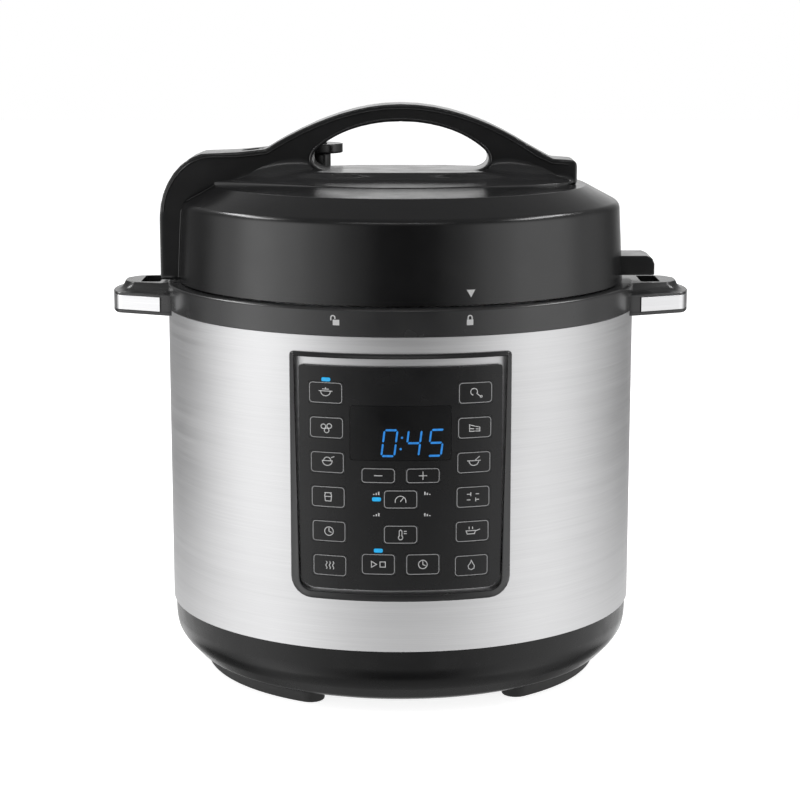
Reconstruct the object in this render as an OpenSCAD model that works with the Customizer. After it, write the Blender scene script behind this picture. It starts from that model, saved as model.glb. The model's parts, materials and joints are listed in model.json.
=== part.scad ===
// Electric pressure cooker, 5.7 litre, as separate pieces.
// Millimetres. +Z is up, the control panel faces -Y, and the origin is on the cooker's axis at the table.

/* [Body] */
// Outer radius of the steel wrap
wrap_r = 133; // [132:0.5:137]
// Height of the steel wrap's lower edge above the table
wrap_z = 38.7; // [37:0.1:42]
// Height of the steel wrap
wrap_h = 168.9; // [165:0.1:175]
// Thickness of the steel wrap
wrap_t = 0.6; // [0.5:0.1:0.8]
// Wall of the plastic mouldings
wall = 3; // [2.6:0.1:3.4]
// Height of the feet
foot_h = 6; // [5:0.5:8]
// Outer radius of the base's lower edge
base_edge_r = 108; // [105:0.5:111]
// Height over which the base's lower edge is bevelled
base_bevel_h = 17; // [15:0.5:20]

/* [Band and side handles] */
// Height of the band that shows above the steel wrap
band_h = 14.5; // [13.5:0.1:17]
// How far a side handle reaches out of the wrap
handle_reach = 31.8; // [30:0.1:35]
// Length of a side handle along the body
handle_w = 68; // [64:1:72]
// Height of a side handle
handle_h = 16.9; // [15.5:0.1:18]
// Length of the slot in a side handle
slot_w = 28; // [24:1:30]
// Width of the slot in a side handle
slot_d = 11; // [9:0.5:12]
// Thickness of the side handles' steel trim
trim_t = 0.8; // [0.6:0.1:1]
// Height of the side handles' steel trim
trim_h = 8.6; // [7:0.1:9.5]

/* [Pot and heater] */
// Radial room between the cooking pot and the wrap
pot_room = 23; // [22.5:0.5:26]
// Wall of the cooking pot
pot_t = 1; // [0.8:0.1:1.2]
// Wall of the pot well
well_t = 1; // [0.8:0.1:1.2]
// Radius of the heating plate
heater_r = 86; // [80:1:92]
// Thickness of the heating plate
heater_t = 9.5; // [9:0.5:12]
// Height of the heating plate's underside
heater_z = 46.5; // [44:0.5:48]
// Radius of the thermal sensor's cap
sensor_r = 10; // [8:0.5:12]

/* [Lid] */
// Height of the lid's skirt
skirt_h = 40.3; // [38:0.1:44]
// Step from the steel wrap in to the skirt's lower edge
skirt_inset = 6; // [5:0.1:7]
// How much narrower the skirt is at its top
skirt_draft = 2.1; // [1:0.1:3]
// Rounding of the lid's shoulder
shoulder_r = 5; // [4:0.5:6]
// How far in from the skirt the lid's top begins
hub_inset = 21.5; // [19:0.5:24]
// Slope of the lid's rim between the shoulder and the top
rim_slope = 28; // [25:1:31]
// How much the lid's top is domed
dome_rise = 2.3; // [1.5:0.1:3]
// How far each lock lug reaches out of the lid plate
lug_reach = 3.1; // [2:0.1:3.4]
// Number of lock lugs
lug_count = 6; // [4:1:6]
// Height of the lid plate's wall
lid_plate_h = 29.6; // [28:0.2:31]

/* [Lid handle] */
// Height of the arch's top above the lid's crown
arch_rise = 43.7; // [42:0.1:47]
// Width of the arch, front to back
arch_w = 30; // [26:1:34]
// Width of the side arm, front to back
arm_w = 35; // [32:1:38]
// Half-width of the handle's foot on the crown
flare_w = 60; // [54:1:64]

/* [Valves] */
// Distance of the release valve to the left of the axis
valve_x = 50; // [46:1:54]
// Distance of the release valve behind the axis
valve_y = 58; // [57:0.5:62]
// Radius of the release valve's cap
valve_cap_r = 15.6; // [12:0.2:16]
// Outer radius of the vent pipe
vent_r = 4.5; // [4:0.1:5]
// Distance of the float valve to the left of the axis
float_x = 84; // [80:1:90]
// Radius of the float valve's pin
float_r = 2.5; // [2:0.1:3]

/* [Control panel] */
// Width of the control panel's bezel
bezel_w = 116.5; // [113:0.5:119]
// Height of the bezel
bezel_h = 132.2; // [130:0.2:136]
// Distance from the band down to the bezel's top
bezel_drop = 8.8; // [7:0.1:11]
// Width of the bezel's rim at the sides
rim_side = 4.8; // [4:0.1:5.4]
// Height of the bezel's rim at the top
rim_top = 6.6; // [5:0.1:7.4]
// Height of the bezel's rim at the bottom
rim_bottom = 6.2; // [5:0.1:7]
// Thickness of the panel film
film_t = 0.8; // [0.6:0.1:1]
// Width of a touch key
key_w = 18; // [17:0.2:18.4]
// Height of a touch key in the side columns
key_h = 11.6; // [10.6:0.2:12]
// Distance between rows of keys
key_pitch = 18.5; // [18.1:0.1:18.8]
// Distance of the side columns from the middle
key_column = 38.2; // [37.6:0.2:38.8]
// Travel of a key
key_travel = 0.4; // [0.3:0.1:0.5]
// Width of the display window
window_w = 53; // [50:1:56]
// Height of the display window
window_h = 29; // [26:1:30]

/* [Back] */
// Width of the condensation collector
cup_w = 50; // [44:1:54]
// Depth of the condensation collector
cup_d = 23; // [20:1:28]
// Height of the condensation collector
cup_h = 46; // [40:1:48]
// Width of the power inlet's socket
socket_w = 24.5; // [24:0.5:26]
// Height of the power inlet's socket
socket_h = 16; // [15.5:0.5:17]
// Height of the power inlet's centre above the wrap's lower edge
inlet_rise = 23; // [20:1:26]

/* [Hidden] */
SIDES = ["left", "right"];
COLUMN_KEYS = [for (s = SIDES) for (i = [1:6]) str("key_", s, "_", i)];
CENTRE_KEYS = ["key_minus", "key_plus", "key_pressure", "key_temperature", "key_start_stop", "key_timer"];
$fn = 96;

// Clearances
play = 0.3;     // between neighbours that don't fit tightly
running = 0.05; // radial clearance of a fit that turns or slides
cut = 1;        // how far a cutting solid runs past a face

// Radii, from the pot outwards
pot_r = wrap_r - pot_room;
pot_out_r = pot_r + pot_t;
well_r = pot_out_r + 1.6;
well_out_r = well_r + well_t;
pot_rim_r = well_out_r + 1.4;
pot_rim_t = 1.2;
plate_wall_t = 1.5;
plate_r = well_out_r + 0.9;
lid_lug_r = plate_r + lug_reach;
lug_gap = 0.4;
ring_lug_r = lid_lug_r + lug_gap;
ring_wall_r = ring_lug_r + 3;
ring_wall_t = 2;
wrap_in_r = wrap_r - wrap_t;
spigot_r = wrap_in_r - play;
band_r = wrap_r + 0.4;
band_in_r = spigot_r - 2.5;
ring_out_r = band_in_r - 0.4;
ring_screw_r = (ring_wall_r + ring_wall_t + ring_out_r) / 2;
lid_r = wrap_r - skirt_inset;
lid_top_r = lid_r - skirt_draft;

// Heights, from the table upwards
floor_z = foot_h + wall;
bevel_z = foot_h + base_bevel_h;
band_z = wrap_z + wrap_h;
band_top_z = band_z + band_h;
flange_z = band_z - 5.8;
flange_t = 1.2;
ledge_t = 3.8;
ring_z = flange_z + flange_t;
ring_base_t = 3;
ring_h = 13;
ring_lug_t = 3.6;
heater_top_z = heater_z + heater_t;
well_floor_z = heater_z - 2.5;
pot_z = heater_top_z + 0.1;
pot_floor_t = 2.2;
pot_top_z = ring_z + 2;
skirt_z = band_top_z + 0.9;
shoulder_z = skirt_z + skirt_h;
hub_r = lid_r - hub_inset;
hub_z = shoulder_z + shoulder_r * cos(rim_slope)
    + (lid_top_r - shoulder_r + shoulder_r * sin(rim_slope) - hub_r) * tan(rim_slope);
lid_top_z = hub_z + dome_rise;
plate_z = pot_top_z + 1.4;
plate_top_z = plate_z + lid_plate_h + plate_wall_t;
lug_t = 3;
lug_arc = 26;
lug_step = 360 / lug_count;

// Colours
BLACK = [0.13, 0.13, 0.14];
DARK = [0.2, 0.2, 0.21];
STEEL = [0.78, 0.78, 0.79];
ALLOY = [0.62, 0.63, 0.65];
BRASS = [0.8, 0.65, 0.3];
SILICONE = [0.75, 0.76, 0.78];
BOARD = [0.1, 0.35, 0.2];
BLUE = [0.25, 0.55, 1];
CLEAR = [0.75, 0.78, 0.8, 0.6];

// Points of an arc about [x, y], from one angle to another
function arc(x, y, r, from, to, steps = 8) =
    [for (i = [0:steps]) [x + r * cos(from + (to - from) * i / steps), y + r * sin(from + (to - from) * i / steps)]];

// Points of a cubic curve, without its last point
function bezier(p0, p1, p2, p3, steps = 8) =
    [for (i = [0:steps - 1]) let (t = i / steps, u = 1 - t)
        u * u * u * p0 + 3 * u * u * t * p1 + 3 * u * t * t * p2 + t * t * t * p3];

function rounded_points(w, h, r) = concat(
    arc(w / 2 - r, h / 2 - r, r, 0, 90, 4),
    arc(r - w / 2, h / 2 - r, r, 90, 180, 4),
    arc(r - w / 2, r - h / 2, r, 180, 270, 4),
    arc(w / 2 - r, r - h / 2, r, 270, 360, 4)
);

module ring(r_in, r_out, z, h) {
    translate([0, 0, z])
        difference() {
            cylinder(r = r_out, h = h);
            translate([0, 0, -cut])
                cylinder(r = r_in, h = h + 2 * cut);
        }
}

// A sector of a ring, centred on +X
module arc_pad(r_in, r_out, z, h, angle) {
    translate([0, 0, z])
        rotate([0, 0, -angle / 2])
            rotate_extrude(angle = angle)
                translate([r_in, 0])
                    square([r_out - r_in, h]);
}

// Copies around the axis
module around(count, first = 0) {
    for (i = [0:count - 1])
        rotate([0, 0, first + i * 360 / count])
            children();
}

// An outline drawn in X and Z, extruded from y = near to y = far
module front_extrude(near, far) {
    translate([0, far, 0])
        rotate([90, 0, 0])
            linear_extrude(far - near)
                children();
}

module pan_screw(r, head_r, head_h, length) {
    cylinder(r = head_r, h = head_h);
    translate([0, 0, -length])
        cylinder(r = r, h = length);
}

function unit(v) = v / norm(v);

// A round tube along a list of points, as one closed solid
module tube(path, r, sides = 8) {
    last = len(path) - 1;
    points = [for (i = [0:last]) let (
        along = unit(path[min(i + 1, last)] - path[max(i - 1, 0)]),
        across = unit(cross([0, 0, 1], along)),
        up = cross(along, across)
    ) for (j = [0:sides - 1]) let (lean = 360 * j / sides)
        path[i] + r * (cos(lean) * across + sin(lean) * up)];
    walls = [for (i = [0:last - 1]) for (j = [0:sides - 1])
        let (k = (j + 1) % sides, low = i * sides, high = (i + 1) * sides)
            for (face = [[low + j, low + k, high + k], [low + j, high + k, high + j]]) face];
    ends = [[for (j = [sides - 1:-1:0]) j], [for (j = [0:sides - 1]) last * sides + j]];
    polyhedron(points, concat(walls, ends), convexity = 8);
}

// ---- Base ----

bottom_hole_r = 60;
bottom_lip = 7;
bottom_t = 1.2;
post_r = 5;
post_circle_r = 72;
bottom_screw_r = bottom_hole_r + bottom_lip / 2;
screw_boss_r = 4;
screw_boss_h = 5;
vent_w = 3;
vent_l = 44;
vent_step = 9;
vent_count = 9;
foot_arc = 55;
foot_r = base_edge_r + 2.5;
foot_w = 15;
foot_peg_r = 2.5;
foot_peg_h = 2.4;
foot_first = -90 - 55.4;
spigot_h = 6;

module base_outline() {
    polygon(concat(
        [[bottom_hole_r, foot_h], [base_edge_r, foot_h]],
        arc(wrap_r - 8, bevel_z + 2, 8, -40, 0, 4),
        [[wrap_r, wrap_z - play], [spigot_r, wrap_z - play], [spigot_r, wrap_z + spigot_h]],
        [[spigot_r - wall, wrap_z + spigot_h], [spigot_r - wall, bevel_z + 3], [base_edge_r, floor_z]],
        [[bottom_hole_r, floor_z]]
    ));
}

module foot_pegs(r, h) {
    around(3, foot_first)
        for (side = [-1, 1])
            rotate([0, 0, side * foot_arc / 3])
                translate([foot_r - foot_w / 2, 0, foot_h - 0.5])
                    cylinder(r = r, h = h + 0.5, $fn = 32);
}

module base_cover() {
    color(BLACK)
        difference() {
            union() {
                rotate_extrude()
                    base_outline();
                around(4, 45)
                    translate([bottom_screw_r, 0, foot_h + 1])
                        cylinder(r = screw_boss_r, h = wall - 1 + screw_boss_h, $fn = 32);
            }
            foot_pegs(foot_peg_r + 0.1, foot_peg_h + 0.2);
            around(4, 45)
                translate([bottom_screw_r, 0, foot_h - cut])
                    cylinder(r = 1.6, h = cut + wall + screw_boss_h - 1, $fn = 32);
        }
}

module feet() {
    color(DARK) {
        around(3, foot_first) {
            arc_pad(foot_r - foot_w, foot_r, 0, foot_h, foot_arc);
            for (side = [-1, 1])
                rotate([0, 0, side * foot_arc / 2])
                    translate([foot_r - foot_w / 2, 0, 0])
                        cylinder(r = foot_w / 2, h = foot_h);
        }
        foot_pegs(foot_peg_r, foot_peg_h);
    }
}

module bottom_plate() {
    color(ALLOY)
        difference() {
            translate([0, 0, foot_h - bottom_t])
                cylinder(r = bottom_hole_r + bottom_lip, h = bottom_t);
            around(4, 45)
                translate([bottom_screw_r, 0, foot_h - bottom_t - cut])
                    cylinder(r = 1.8, h = bottom_t + 2 * cut, $fn = 32);
            for (i = [0:vent_count - 1])
                translate([(i - (vent_count - 1) / 2) * vent_step - vent_w / 2, -vent_l / 2, foot_h - bottom_t - cut])
                    cube([vent_w, vent_l, bottom_t + 2 * cut]);
        }
}

// ---- Steel wrap, band and side handles ----

through_inset = 5;
bezel_z = band_z - bezel_drop - bezel_h;
bezel_mid_z = bezel_z + bezel_h / 2;
inlet_z = wrap_z + inlet_rise;
inlet_wall = 3;

module steel_wrap() {
    color(STEEL)
        difference() {
            ring(wrap_in_r, wrap_r, wrap_z, wrap_h);
            translate([0, 0, bezel_mid_z])
                front_extrude(-wrap_r - cut, 0)
                    square([bezel_w - 2 * through_inset, bezel_h - 2 * through_inset], center = true);
            translate([0, 0, inlet_z])
                front_extrude(0, wrap_r + cut)
                    square([socket_w + 2 * inlet_wall + play, socket_h + 2 * inlet_wall + play], center = true);
        }
}

handle_z = band_z - 3;
handle_low_h = 10.9;
handle_out_x = wrap_r + handle_reach;
handle_corner_r = 7;
slot_x = band_r + 3.6;
trim_z = handle_z + 1.8;
trim_from_x = wrap_r + 6;
drain_r = 2.5;

// Plan of a side handle on +X, drawn inset by a given amount
function handle_plan(half, tip, out_x, inset) = concat(
    [[wrap_r - 12, -half + inset], [wrap_r - 2, -half + inset]],
    arc(out_x - handle_corner_r, -tip + handle_corner_r, handle_corner_r - inset, -70, 0, 5),
    arc(out_x - handle_corner_r, tip - handle_corner_r, handle_corner_r - inset, 0, 70, 5),
    [[wrap_r - 2, half - inset], [wrap_r - 12, half - inset]]
);

module handle_body() {
    half = handle_w / 2;
    tip = half - 12;
    top_inset = 6;
    translate([0, 0, handle_z])
        linear_extrude(handle_low_h)
            polygon(handle_plan(half, tip, handle_out_x, 0));
    hull() {
        translate([0, 0, handle_z + handle_low_h - 0.2])
            linear_extrude(0.2)
                polygon(handle_plan(half - 2, tip - 2, handle_out_x - 1.5, 0));
        translate([0, 0, handle_z + handle_h - 0.2])
            linear_extrude(0.2)
                polygon(handle_plan(half - 2 * top_inset, tip - top_inset, handle_out_x - top_inset - 1, 0));
    }
}

module trim_zone(gap) {
    half = handle_w / 2;
    difference() {
        translate([0, 0, trim_z - gap])
            linear_extrude(trim_h + 2 * gap)
                difference() {
                    polygon(handle_plan(half, half - 12, handle_out_x, -gap));
                    polygon(handle_plan(half, half - 12, handle_out_x, trim_t + gap));
                }
        translate([-trim_from_x + gap, -handle_w, 0])
            cube([2 * trim_from_x - 2 * gap, 2 * handle_w, band_top_z + 20]);
    }
}

module top_band() {
    lip_in_r = ring_wall_r + 3.2;
    color(BLACK)
        difference() {
            union() {
                rotate_extrude()
                    polygon([
                        [band_in_r, flange_z - ledge_t], [spigot_r, flange_z - ledge_t], [spigot_r, band_z],
                        [band_r, band_z], [band_r, band_top_z - 1], [band_r - 1, band_top_z],
                        [lip_in_r, band_top_z], [lip_in_r, band_top_z - 2.4], [band_in_r, band_top_z - 2.4]
                    ]);
                ring(well_out_r + 2.4, band_in_r + 0.5, flange_z - ledge_t, ledge_t);
                for (turn = [0, 180])
                    rotate([0, 0, turn])
                        difference() {
                            handle_body();
                            translate([0, 0, handle_z - cut])
                                cylinder(r = wrap_r + running, h = band_z - handle_z + cut);
                            translate([0, 0, handle_z - cut])
                                cylinder(r = band_r - 1, h = handle_h + 3 * cut);
                            translate([slot_x, -slot_w / 2, handle_z - cut])
                                cube([slot_d, slot_w, handle_h + 2 * cut]);
                            trim_zone(running);
                        }
            }
            around(lug_count, lug_step / 2)
                translate([ring_screw_r, 0, flange_z - ledge_t - cut])
                    cylinder(r = 1.55, h = ledge_t + 2 * cut, $fn = 32);
            translate([0, band_in_r - cut, band_z + 3])
                rotate([-90, 0, 0])
                    cylinder(r = drain_r, h = 8, $fn = 32);
        }
}

module handle_trims() {
    color(STEEL)
        for (turn = [0, 180])
            rotate([0, 0, turn])
                trim_zone(0);
}

module lock_ring() {
    color(ALLOY)
        difference() {
            union() {
                ring(ring_wall_r, ring_out_r, ring_z, ring_base_t);
                ring(ring_wall_r, ring_wall_r + ring_wall_t, ring_z, ring_h);
                around(lug_count, 90)
                    arc_pad(ring_lug_r, ring_wall_r + cut, ring_z + ring_h - ring_lug_t, ring_lug_t, lug_arc + 2);
            }
            around(lug_count, lug_step / 2)
                translate([ring_screw_r, 0, ring_z - cut])
                    cylinder(r = 1.8, h = ring_base_t + 2 * cut, $fn = 32);
        }
}

// The bottom plate's screws and the lock ring's
module housing_screws() {
    color(ALLOY) {
        around(4, 45)
            translate([bottom_screw_r, 0, foot_h - bottom_t])
                mirror([0, 0, 1])
                    pan_screw(1.55, 3, 1.6, 6);
        around(lug_count, lug_step / 2)
            translate([ring_screw_r, 0, ring_z + ring_base_t])
                pan_screw(1.5, 2.5, 1.6, ring_base_t + flange_t + ledge_t - 0.5);
    }
}

// ---- Pot, well and heater ----

heater_hole_r = sensor_r + play;
element_r = 55;
element_tube_r = 4;

well_corner_r = 8;
well_seam_z = well_floor_z + well_corner_r + 2;

// The well's bottom ring, which its wall is welded to
module well_floor() {
    opening_r = heater_r - 6;
    corner_x = well_out_r - well_corner_r;
    corner_z = well_floor_z + well_corner_r;
    color(ALLOY)
        rotate_extrude()
            polygon(concat(
                [[opening_r, well_floor_z], [corner_x, well_floor_z]],
                arc(corner_x, corner_z, well_corner_r, -90, 0, 5),
                [[well_out_r, well_seam_z], [well_r, well_seam_z]],
                arc(corner_x, corner_z, well_corner_r - well_t, 0, -90, 5),
                [[opening_r, well_floor_z + well_t]]
            ));
}

module pot_well() {
    color(ALLOY)
        difference() {
            rotate_extrude()
                polygon([
                    [well_r, well_seam_z], [well_out_r, well_seam_z], [well_out_r, flange_z],
                    [ring_out_r, flange_z], [ring_out_r, ring_z], [well_r, ring_z]
                ]);
            around(lug_count, lug_step / 2)
                translate([ring_screw_r, 0, flange_z - cut])
                    cylinder(r = 1.8, h = flange_t + 2 * cut, $fn = 32);
        }
}

module heating_plate() {
    color(ALLOY)
        difference() {
            rotate_extrude()
                polygon([
                    [heater_hole_r, heater_z], [heater_r - 8, heater_z], [heater_r - 8, well_floor_z + well_t + 0.2],
                    [heater_r, well_floor_z + well_t + 0.2], [heater_r, heater_top_z - 2],
                    [heater_r - 2, heater_top_z], [heater_hole_r, heater_top_z]
                ]);
            translate([0, 0, heater_z])
                rotate_extrude()
                    translate([element_r, 0])
                        circle(r = element_tube_r + play, $fn = 32);
            around(3, 90)
                translate([post_circle_r, 0, heater_z - cut])
                    cylinder(r = 1.7, h = 5 + cut, $fn = 32);
        }
}

module heater_element() {
    gap = 30;
    color(STEEL)
        translate([0, 0, heater_z]) {
            rotate([0, 0, -90 + gap / 2])
                rotate_extrude(angle = 360 - gap)
                    translate([element_r, 0])
                        circle(r = element_tube_r, $fn = 32);
            for (side = [-1, 1])
                rotate([0, 0, -90 + side * gap / 2])
                    translate([element_r, 0, -14])
                        cylinder(r = 2.4, h = 14, $fn = 32);
        }
}

bridge_z = floor_z + 17;
bridge_t = 2;

module plate_supports() {
    color(STEEL) {
        around(3, 90) {
            translate([post_circle_r, 0, floor_z])
                cylinder(r = post_r, h = heater_z - floor_z, $fn = 48);
            translate([post_circle_r, 0, heater_z])
                cylinder(r = 1.5, h = 4.5, $fn = 32);
            translate([8, -4, bridge_z])
                cube([post_circle_r - 8, 8, bridge_t]);
        }
        translate([0, 0, bridge_z])
            cylinder(r = 12, h = bridge_t);
    }
}

module cooking_pot() {
    corner = 14;
    color(ALLOY)
        rotate_extrude()
            polygon(concat(
                [[0, pot_z]],
                arc(pot_out_r - corner, pot_z + corner, corner, -90, 0, 7),
                [[pot_out_r, pot_top_z - pot_rim_t], [pot_rim_r, pot_top_z - pot_rim_t]],
                [[pot_rim_r, pot_top_z], [pot_r, pot_top_z]],
                arc(pot_r - corner + 1, pot_z + pot_floor_t + corner - 1, corner - 1, 0, -90, 7),
                [[0, pot_z + pot_floor_t]]
            ));
}

sensor_flange_z = heater_z - play - 1.6;

module thermal_sensor() {
    color(ALLOY) {
        translate([0, 0, sensor_flange_z])
            cylinder(r = sensor_r, h = pot_z - 0.05 - sensor_flange_z);
        translate([0, 0, sensor_flange_z])
            cylinder(r = sensor_r + 3, h = 1.6);
    }
}

spring_turns = 5;
spring_wire_r = 0.7;
spring_r = 7;

// A round wire wound upwards from the bridge to the sensor
module sensor_spring() {
    steps = 12 * spring_turns;
    low = bridge_z + bridge_t + spring_wire_r;
    high = sensor_flange_z - spring_wire_r;
    color(STEEL)
        tube([for (i = [0:steps]) [spring_r * cos(30 * i), spring_r * sin(30 * i), low + (high - low) * i / steps]],
            spring_wire_r);
}

module thermal_fuse() {
    color(BRASS)
        translate([32, 0, heater_z - 3.2])
            rotate([90, 0, 0])
                cylinder(r = 3, h = 14, center = true, $fn = 32);
}

// ---- Control panel ----

bezel_r = wrap_r + 3.4;
film_r = wrap_r + 2;
bezel_back_r = film_r - film_t;
bezel_in_r = wrap_in_r - 2.4;
bezel_boss_r = 3;
bezel_boss_in = 12.25;
bezel_boss_up = 14;
panel_w = bezel_w - 2 * rim_side;
panel_h = bezel_h - rim_top - rim_bottom;
panel_mid_z = bezel_z + rim_bottom + panel_h / 2;
key_block_drop = 0.75;
key_top_z = panel_mid_z + 2.5 * key_pitch - key_block_drop;
key_gap = 0.2;
key_corner = 1.4;
column_lean = 1.7;
centre_key_x = 11.7;
sign_key_h = 8.4;
adjust_key_h = 10.2;
key_stem_r = 1.6;
board_y = well_out_r + 2.4;
board_t = 1.6;
board_side = 9;
board_end = 10;
switch_h = 3;
switch_w = 6;
switch_y = board_y + board_t + switch_h;
window_rise = 24.9;
window_z = panel_mid_z + window_rise;
window_ledge = 3;
window_corner = 2;
digit_w = 13;
digit_gap = 1;
digit_margin = 4.5;
led_depth = 2.4;
led_w = 4.6;
led_h = 2;
led_gap = 1.4;
led_side_gap = 3.6;
led_corner = 0.8;
back_run = 8; // how far the panel's cuts run in behind the bezel

// Each key is [name, x, z, height]
function column_key(side, row) =
    [str("key_", SIDES[side], "_", row + 1), (2 * side - 1) * (key_column + column_lean * (0.5 - row / 5)),
        key_top_z - row * key_pitch, key_h];
CENTRE_PLACES = [
    [-centre_key_x, 2.33, sign_key_h], [centre_key_x, 2.33, sign_key_h], [0, 3.01, adjust_key_h],
    [0, 4.03, adjust_key_h], [-centre_key_x, 4.91, key_h], [centre_key_x, 4.91, key_h]
];
KEYS = concat(
    [for (side = [0, 1]) for (row = [0:5]) column_key(side, row)],
    [for (i = [0:5]) [CENTRE_KEYS[i], CENTRE_PLACES[i][0], key_top_z - CENTRE_PLACES[i][1] * key_pitch,
        CENTRE_PLACES[i][2]]]
);
// Lamps stand above the first left key and the start key, and left of the pressure key
LAMPS = [
    [KEYS[0][1], KEYS[0][2] + key_h / 2 + led_gap], [KEYS[16][1], KEYS[16][2] + key_h / 2 + led_gap],
    [KEYS[14][1] - key_w / 2 - led_side_gap, KEYS[14][2]]
];

// Turns its children from the front of the axis to a place on the panel
module at_panel(x, z) {
    rotate([0, 0, asin(x / film_r)])
        translate([0, 0, z])
            children();
}

// A rounded block that runs through the panel at its local front
module panel_block(w, h, r) {
    front_extrude(-bezel_r - cut, -bezel_in_r + back_run)
        polygon(rounded_points(w, h, r));
}

module bezel_block(inset, low_r, high_r) {
    w = bezel_w / 2 - inset;
    front_extrude(-bezel_r - 2 * cut, 0)
        polygon(concat(
            arc(w - low_r, bezel_z + inset + low_r, low_r, -90, 0, 6),
            arc(w - high_r, bezel_z + bezel_h - inset - high_r, high_r, 0, 90, 3),
            arc(high_r - w, bezel_z + bezel_h - inset - high_r, high_r, 90, 180, 3),
            arc(low_r - w, bezel_z + inset + low_r, low_r, 180, 270, 6)
        ));
}

module panel_recess(gap) {
    w = panel_w / 2 - gap;
    low_r = 8;
    low = panel_mid_z - panel_h / 2 + gap;
    high = panel_mid_z + panel_h / 2 - gap;
    front_extrude(-bezel_r - 2 * cut, 0)
        polygon(concat(
            arc(w - low_r, low + low_r, low_r, -90, 0, 6), [[w, high], [-w, high]],
            arc(low_r - w, low + low_r, low_r, 180, 270, 6)
        ));
}

// The part of its children between two radii
module shell(r_in, r_out) {
    intersection() {
        ring(r_in, r_out, bezel_z - cut, bezel_h + 2 * cut);
        children();
    }
}

module control_bezel() {
    color(BLACK)
        difference() {
            union() {
                shell(wrap_r + running, bezel_r)
                    bezel_block(0, 11, 2);
                shell(bezel_in_r, wrap_r + cut)
                    bezel_block(through_inset + play, 8, 2);
                for (x = [-1, 1] * (bezel_w / 2 - bezel_boss_in))
                    for (z = [bezel_z + bezel_boss_up, bezel_z + bezel_h - bezel_boss_up])
                        translate([x, 0, z])
                            front_extrude(-sqrt(bezel_in_r * bezel_in_r - x * x) - cut, -board_y - board_t)
                                circle(r = bezel_boss_r, $fn = 32);
            }
            shell(bezel_back_r, bezel_r + 3 * cut)
                panel_recess(0);
            for (k = KEYS)
                at_panel(k[1], k[2])
                    front_extrude(-bezel_r, -bezel_in_r + back_run)
                        circle(r = key_stem_r + play, $fn = 24);
            for (lamp = LAMPS)
                at_panel(lamp[0], lamp[1])
                    panel_block(led_w + play, led_h + play, led_corner);
            translate([0, 0, window_z])
                panel_block(window_w - 2 * window_ledge, window_h - 2 * window_ledge, window_corner);
        }
}

module panel_film() {
    color(BLACK)
        difference() {
            shell(bezel_back_r, film_r)
                panel_recess(0.1);
            for (k = KEYS)
                at_panel(k[1], k[2])
                    panel_block(key_w + 2 * key_gap, k[3] + 2 * key_gap, key_corner + key_gap);
            for (lamp = LAMPS)
                at_panel(lamp[0], lamp[1])
                    panel_block(led_w + play, led_h + play, led_corner);
            translate([0, 0, window_z])
                panel_block(window_w, window_h, window_corner);
        }
}

module display_window() {
    color(DARK)
        shell(bezel_back_r, film_r)
            translate([0, 0, window_z])
                panel_block(window_w - 0.2, window_h - 0.2, window_corner);
}

module touch_key(k) {
    lean = asin(k[1] / film_r);
    stem_end = (switch_y + key_travel + 0.2 + key_stem_r * sin(abs(lean))) / cos(lean);
    color(DARK) {
        shell(bezel_back_r + key_travel + 0.05, film_r)
            at_panel(k[1], k[2])
                panel_block(key_w, k[3], key_corner);
        at_panel(k[1], k[2])
            front_extrude(-film_r + film_t / 4, -stem_end)
                circle(r = key_stem_r, $fn = 24);
    }
}

module led_display() {
    color(BLUE)
        for (i = [-1:1])
            translate([i * (digit_w + digit_gap), 0, window_z])
                front_extrude(-bezel_back_r + led_depth, -board_y - board_t)
                    square([digit_w, window_h - 2 * digit_margin], center = true);
}

module indicator_leds() {
    color(BLUE)
        shell(bezel_in_r + 0.5, film_r)
            for (lamp = LAMPS)
                at_panel(lamp[0], lamp[1])
                    panel_block(led_w, led_h, led_corner - 0.1);
}

module control_board() {
    color(BOARD)
        translate([0, 0, bezel_mid_z])
            front_extrude(-board_y - board_t, -board_y)
                square([bezel_w - 2 * board_side, bezel_h - 2 * board_end], center = true);
}

module tact_switches() {
    color(DARK)
        for (k = KEYS)
            translate([switch_y * tan(asin(k[1] / film_r)), 0, k[2]])
                front_extrude(-switch_y, -board_y - board_t)
                    square(switch_w, center = true);
}

// ---- Power electronics ----

power_x = -82;
power_w = 32;
power_d = 56;
power_z = floor_z + 4;
wire_r = 1.2;
wire_z = floor_z + 21;

module power_board() {
    color(BOARD) {
        translate([power_x - power_w / 2, -power_d / 2, power_z])
            cube([power_w, power_d, board_t]);
        for (x = [-1, 1])
            for (y = [-1, 1])
                translate([power_x + x * (power_w / 2 - 4), y * (power_d / 2 - 4), floor_z])
                    cylinder(r = 2, h = power_z - floor_z, $fn = 24);
    }
}

module power_components() {
    top = power_z + board_t;
    color(DARK) {
        translate([power_x - 12, -24, top])
            cube([16, 19, 15]);
        translate([power_x - 11, 6, top])
            cube([22, 18, 13]);
        translate([power_x + 10, -18, top])
            cylinder(r = 4, h = 14, $fn = 32);
        translate([power_x + 10, -8, top])
            cylinder(r = 4, h = 14, $fn = 32);
    }
}

inlet_back_y = well_out_r + 2;
inlet_face_y = wrap_r + 3;
socket_depth = 13.5;
pin_drop = 1;

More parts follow.
